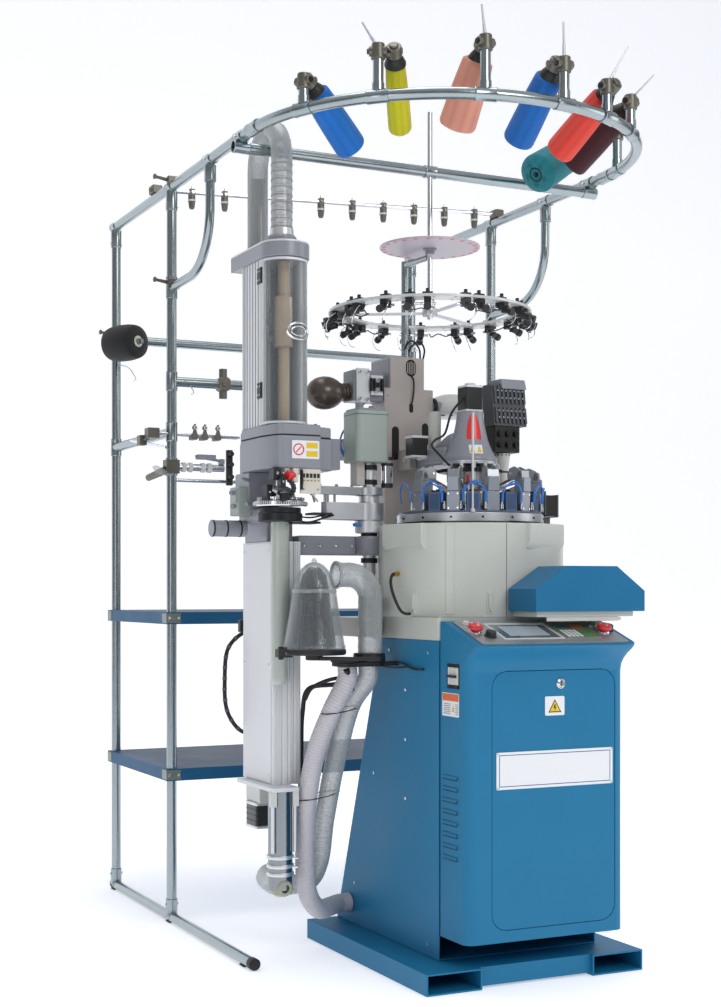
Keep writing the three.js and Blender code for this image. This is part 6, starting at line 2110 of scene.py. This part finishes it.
@dataclass
class YarnRail:
    """The guide rail across the back of the ring, and the ring's yarn holders with their cones."""

    def build(self) -> None:
        """Makes the rail's guides, then every holder and cone."""
        self._rail_guides()
        for holder in HOLDERS:
            self._holder(holder)
            self._cone(holder)
        self._black_cone()

    def _rail_guides(self) -> None:
        """Makes the small hanging tension guides along the rail."""
        a, b = np.array([-645, 930, 2352.0]), np.array([523, 730, 2352.0])
        bodies, caps, eyes = [], [], []
        for t in np.linspace(0.10, 0.93, 10):
            p = a + (b - a) * t
            bodies += [block(p[0] - 9, p[0] + 9, p[1] - 10, p[1] + 10, 2340, 2364),
                lathe([(0, -46), (7, -46), (10, -38), (12, -12), (12, 0), (0, 0)], (p[0], p[1], 2344),
                    sides=24)]
            caps += [rod((p[0], p[1], 2364), (p[0] + 3, p[1], 2374), 4, sides=12),
                rod((p[0], p[1] - 16, 2352), (p[0], p[1] + 12, 2352), 5, sides=12)]
            eyes.append(hoop(12, 13.4, -1, 5, (p[0], p[1], 2324), sides=24))
        place("rail_guides", bodies, CASTING_ZINC, bevel=1.8)
        place("rail_guide_pins", caps, CHROME, bevel=0.6)
        place("rail_guide_rings", eyes, LIGHT_GREY)
        ends = [block(x - 17, x + 17, y - 22, y + 22, 2338, 2366)
            for x, y in ((-645, 930), (523, 730))] + [rod((-640, 926, 2352), (-668, 932, 2352), 9, 7),
            rod((523, 730, 2352), (538, 727, 2352), 9, 7)]
        place("rail_end_clamps", ends, CASTING_ZINC, bevel=4.0, segments=3)

    def _holder(self, h: Holder) -> None:
        """Makes one holder: its tee on the ring, stem, swivel casting, peg and aerial.

        Args:
            h: The holder.
        """
        top, end = np.array(h.top, float), np.array(h.end, float)
        way = (end - top) / np.linalg.norm(end - top)
        head = top - 30 * way
        seat = np.array([*h.clamp, 2325.0])
        knee = np.array([seat[0], seat[1], head[2]])
        out = seat - np.array([-61, 100, 2325.0])
        along = np.array([-out[1], out[0], 0.0]) / np.linalg.norm(out[:2])
        tube = [lathe([(15, -30), (18.4, -30), (19.4, -28), (18.4, -25), (18.4, 25), (19.4, 28), (18.4, 30),
            (15, 30)], seat, seat + along, 28, True), rod(seat, knee - [0, 0, 10], 14, sides=24),
            hoop(13.6, 16, 14, 34, seat, seat + [0, 0, 1], 24)]
        place(f"holder_tee_{h.name}", tube, ZINC, sharp=50)
        lean = head - knee
        side = np.cross(way, [0, 0, 1.0])
        side /= np.linalg.norm(side)
        cast = [rod(knee - [0, 0, 22], knee + [0, 0, 20], 19, 17, sides=24),
            rod(knee - side * 24, knee + side * 24, 13, sides=20)]
        if np.linalg.norm(lean) > 4:
            cast.append(rod(knee, head, 14, sides=20))
        cast += [rod(head - way * 24, head + way * 8, 20, sides=24),
            rod(head - side * 22 + [0, 0, 8], head + side * 22 + [0, 0, 8], 9, sides=16),
            rod(head - way * 30, head - way * 20, 12, sides=20)]
        place(f"holder_casting_{h.name}", cast, CASTING_ZINC, bevel=3.0, segments=3, sharp=44)
        place(f"holder_bolt_{h.name}", [rod(knee - side * 29, knee - side * 22, 7.4, sides=6),
            rod(knee + side * 22, knee + side * 28, 7.4, sides=6),
            rod(head + way * 6, top + way * 150, 6, sides=20)], DARK_STEEL, bevel=0.6)
        place(f"cone_grip_{h.name}",
            [lathe([(6, -22), (20, -22), (24, -14), (29, -2), (29, 3), (6, 3)], top, top + way, 40, True)],
            BLACK, bevel=0.8)
        if h.tip:
            tip = np.array(h.tip, float)
            root = knee + [0, 0, 6]
            flat = tip - root
            place(f"aerial_{h.name}", [rod(root, root + flat * 0.45, 5.4, 4.2, sides=14),
                rod(root + flat * 0.45, tip, 3.4, 2.6, sides=12),
                rod(root - flat * 0.06, root + flat * 0.10, 9, sides=16)], GROUND_STEEL, bevel=0.5)

    def _cone(self, h: Holder) -> None:
        """Makes one wound cone: rounded shoulders, faint bulge, and its paper core's ends.

        The wound radius at share s of its length is r0 + (r1 - r0) s, plus 1.6 sin(pi s) of bulge,
        with both ends rounded off by a quarter of a superellipse.

        Args:
            h: Its holder.
        """
        top, end = np.array(h.top, float), np.array(h.end, float)
        n = float(np.linalg.norm(end - top))
        s = np.linspace(0, 1, 40)
        body = h.r[0] + (h.r[1] - h.r[0]) * s - 1.2 + 1.6 * np.sin(math.pi * s)
        ends = np.minimum(1, (1 - (1 - np.clip(s * n / 9, 0, 1)) ** 2.4) ** 0.5) * np.minimum(1,
            (1 - (1 - np.clip((1 - s) * n / 15, 0, 1)) ** 2.4) ** 0.5)
        radius = h.r[0] - 9 + (body - h.r[0] + 9) * np.clip(ends, 0, 1)
        skin = np.column_stack([radius, s * n])
        profile = [(9.2, 1.0), *skin.tolist(), (9.2, n - 1.0)]
        way = (end - top) / n
        turn = Vector(way).to_track_quat("Z", "Y").inverted().to_euler()
        back = Vector(top * MM)
        finish = Yarn(f"wound_cotton_{h.name}", h.colour, 0.86, grain=Grain.MOULDED, tint=0.05,
            slot=f"yarn_{h.name}", start=tuple(back), turn=tuple(turn))
        place(f"cone_{h.name}", lathe(profile, top, end, 64, True), finish, stands_for=[f"yarn_cone_{h.name}"],
            sharp=60)
        core = lathe([(9.4, n - 3), (22, n - 3), (22, n + 1), (18.4, n + 3), (18.4, n - 2), (9.4, n - 2)], top,
            end, 40, True)
        place(f"cone_core_{h.name}", core, BLACK, bevel=0.6)

    def _black_cone(self) -> None:
        """Makes the black package on its own peg at the back left, with its pale core."""
        a, b = np.array([-702, 1239, 1889.0]), np.array([-641, 1130, 1889.0])
        way, n = (b - a) / np.linalg.norm(b - a), 124.9
        s = np.linspace(0, 1, 33)
        r = 46 + 15.6 * np.sin(math.pi * s) ** 0.3
        profile = [(10.2, 0.5), (30, 0.2), *np.column_stack([r, s * n]).tolist()[1:-1], (30, n - 0.2),
            (10.2, n - 0.5)]
        turn = Vector(way).to_track_quat("Z", "Y").inverted().to_euler()
        finish = Yarn("wound_nylon_black", "0D0D0E", 0.7, grain=Grain.MOULDED, tint=0.05, slot="yarn_black",
            start=tuple(a * MM), turn=tuple(turn))
        place("cone_black", lathe(profile, a, b, 72, True), finish, stands_for=["yarn_cone_black"], sharp=60)
        rings = [[(10.4, z), (19, z), (19, z + 4), (10.4, z + 4)] for z in (-2, n - 2)]
        place("black_cone_core", [lathe(ring, a, b, 40, True) for ring in rings], CREAM, bevel=0.6)
        peg = [rod((-645, 1370, 1889), (-717, 1266, 1889), 9, sides=24),
            rod((-717, 1266, 1889), (-632, 1113.5, 1889), 8.8, sides=24)]
        place("black_cone_peg", peg, ZINC)


@dataclass
class Carousel:
    """The overhead tension ring with its tensioners, and the spotted yarn disc above it.

    Attributes:
        inner: Inner radius of the ring.
        outer: Outer radius.
        height: Height of its underside.
    """

    inner: float = 240
    outer: float = 303
    height: float = 1871

    def build(self) -> None:
        """Makes the ring, its tensioners with springs and eyes, the disc and its spots."""
        self._ring()
        self._tensioners()
        self._disc()

    def _ring(self) -> None:
        """Makes the translucent ring, its spokes, hub and holes."""
        z = self.height
        place("tension_ring", hoop(self.inner, self.outer, z, z + 8, (*HUB, 0), sides=144), ACRYLIC,
            stands_for=["carousel_ring"], bevel=1.0)
        spokes = copies(plate([(8, -6), (268, -6), (268, 6), (8, 6)], z + 0.4, z + 7.6), (30, 150, 270), HUB)
        place("ring_spokes", spokes, ALU_SATIN, bevel=0.8)
        place("ring_hub",
            [lathe([(8.4, 1866), (21, 1866), (22, 1868), (22, 1888), (14, 1896), (8.4, 1896)], (*HUB, 0),
                sides=44, loop=True)], ALU_FLAT, bevel=0.8)
        holes = [post(HUB[0] + q * math.cos(a), HUB[1] + q * math.sin(a), z - 0.6, z + 8.6, 3.0, sides=12)
            for a in np.radians(np.arange(4, 364, 12)) for q in (252, 294)]
        place("ring_holes", holes, DARK_GREY)

    def _tensioners(self) -> None:
        """Makes one tensioner of each part and turns it to twenty-four places round the ring."""
        z = self.height
        body = [block(264, 298, -10, 10, z - 22, z - 0.2), block(282, 304, -5, 5, z - 30, z - 12),
            rod((288, 0, z - 20), (312, 0, z - 29), 10, 8, sides=20),
            rod((309, 0, z - 28), (321, 0, z - 32), 11, sides=20), block(272, 288, -15, 15, z + 8, z + 16),
            post(280, 0, z + 8, z + 26, 5.4, sides=14)]
        wire = spline([(290, 14, z - 8), (306, 20, z - 20), (318, 16, z - 44), (312, 6, z - 62),
            (302, 0, z - 66)], 24)
        bright = [lathe([(3, 0), (9, 0.4), (9.6, 1.8), (3, 2.4)], (290, 0, z - 20), (314, 0, z - 30), 20,
            True), rod((276, 12, z - 16), (276, 24, z - 16), 4, sides=12),
            rod((276, -12, z - 16), (276, -24, z - 16), 4, sides=12), pipe(wire, 1.3, sides=8)]
        angles = [a + 4 * math.sin(a) for a in np.arange(4, 364, 15)]
        for name, parts, finish in (("tensioner_bodies", body, BLACK), ("tensioner_discs", bright, CHROME)):
            one = merged(parts)
            place(name, copies(one, angles, HUB), finish, bevel=1.2 if finish is BLACK else 0.0)
        lead = spline([(270, 6, z - 12), (240, 20, z - 26), (224, 40, z - 20), (240, 66, z - 26),
            (262, 80, z - 12)], 24)
        place("tensioner_leads", [pipe(Shape(lead, []).about_z(a).moved(*HUB).points, 1.8, sides=8)
            for a in np.arange(0, 360, 45)], RUBBER)

    def _disc(self) -> None:
        """Makes the pale disc with pink eyelet spots near its rim."""
        disc = [(8.4, 2068), (149, 2068), (150, 2069), (150, 2073), (149, 2074), (8.4, 2074)]
        place("yarn_disc", lathe(disc, (*HUB, 0), sides=120, loop=True), DISC_SHEET, stands_for=["guide_disc"])
        place("yarn_disc_hub", [hoop(8.4, 20, 2062, 2084, (*HUB, 0), sides=40),
            hoop(8.4, 14, 2052, 2063, (*HUB, 0), sides=40)], CAST_GREY, bevel=1.2)
        spot = lathe([(2.4, -3.8), (6.8, -3.8), (7.4, -2.8), (7.4, 2.8), (6.8, 3.8), (2.4, 3.8)],
            (139, 0, 2071), sides=20, loop=True)
        place("disc_spots", copies(spot, np.arange(0, 360, 15), HUB), PINK)


# ---------------------------------------------------------------- stage


@dataclass
class Studio:
    """Camera, pale floor and soft lights."""

    eye: tuple[float, float, float] = (-2.246, -3.935, 1.05)
    turn: float = -25.7
    lens: float = 55.73
    rise: float = 0.0859

    def build(self) -> None:
        """Makes the camera, floor, world and lamps."""
        camera = bpy.data.cameras.new("camera")
        camera.lens, camera.sensor_width, camera.shift_y = self.lens, 36.0, self.rise
        camera.clip_start, camera.clip_end = 0.05, 60.0
        eye = bpy.data.objects.new("camera", camera)
        eye.location, eye.rotation_euler = self.eye, (math.radians(90), 0.0, math.radians(self.turn))
        bpy.context.scene.collection.objects.link(eye)
        bpy.context.scene.camera = eye
        self._floor()
        self._light()

    def _floor(self) -> None:
        """Makes the pale floor, which rises in a long curve behind the machine."""
        y = np.concatenate([[-9.0, 4.0], 4.0 + 4.0 * np.sin(np.linspace(0.15, math.pi / 2, 12)), [8.0]])
        z = np.concatenate([[0.0, 0.0], 4.0 - 4.0 * np.cos(np.linspace(0.15, math.pi / 2, 12)), [10.0]])
        points = [(x, float(b), float(c) - 0.0006) for b, c in zip(y, z) for x in (-12.0, 14.0)]
        mesh = bpy.data.meshes.new("studio_floor")
        mesh.from_pydata(points, [], grid_faces(len(y), 2, False, False))
        mesh.shade_smooth()
        floor = bpy.data.objects.new("studio_floor", mesh)
        bpy.context.scene.collection.objects.link(floor)
        finish = Finish("pale_studio_paper", "F6F7FA", 0.9, grain=Grain.MOULDED, size_mm=3.0, relief_mm=0.0,
            tint=0.004, glow=0.47)
        mesh.materials.append(finish.material())

    def _light(self) -> None:
        """Makes a world that is darker at its horizon than overhead, a large key and soft fills."""
        bpy.context.scene.view_settings.view_transform = "Standard"
        world = bpy.data.worlds.new("studio")
        bpy.context.scene.world = world
        world.use_nodes = True
        tree = world.node_tree
        up = add(tree, "ShaderNodeSeparateXYZ",
            links={0: add(tree, "ShaderNodeTexCoord").outputs["Generated"]}).outputs[2]
        glow = add(tree, "ShaderNodeMapRange", {1: 0.0, 2: 0.75, 3: 0.17, 4: 0.62}, {0: up}).outputs[0]
        shade = tree.nodes["Background"]
        shade.inputs[0].default_value = linear("F3F5FC")
        tree.links.new(glow, shade.inputs[1])
        for name, at, size, power, aim in (("key", (0.6, -5.4, 3.9), 2.6, 88.0, (0.0, 0.0, 1.2)),
                ("fill", (4.2, -1.8, 2.4), 2.4, 26.0, (0.1, 0.0, 1.0)),
                ("top", (-0.4, 0.2, 5.4), 2.6, 48.0, (0.0, 0.2, 1.0)),
                ("low", (-4.0, -2.6, 1.4), 1.4, 9.0, (-0.3, 0.0, 1.0))):
            lamp = bpy.data.lights.new(name, "AREA")
            lamp.shape, lamp.size, lamp.energy = "DISK", size, power
            obj = bpy.data.objects.new(name, lamp)
            obj.location = at
            obj.rotation_euler = (Vector(aim) - Vector(at)).to_track_quat("-Z", "Y").to_euler()
            bpy.context.scene.collection.objects.link(obj)


def main() -> None:
    """Builds the stage and every sub-assembly in order."""
    logging.basicConfig(level=logging.INFO, format="%(message)s")
    for part in (Studio(), Hoses(), Cabinet(), Console(), Drum(), Feeders(), DialHead(), RearColumn(), Hood(),
            TransferArm(), LinkUnit(), FilterCup(), Creel(), YarnRail(), Carousel()):
        log.info("-- %s", type(part).__name__)
        part.build()


if __name__ == "__main__":
    main()
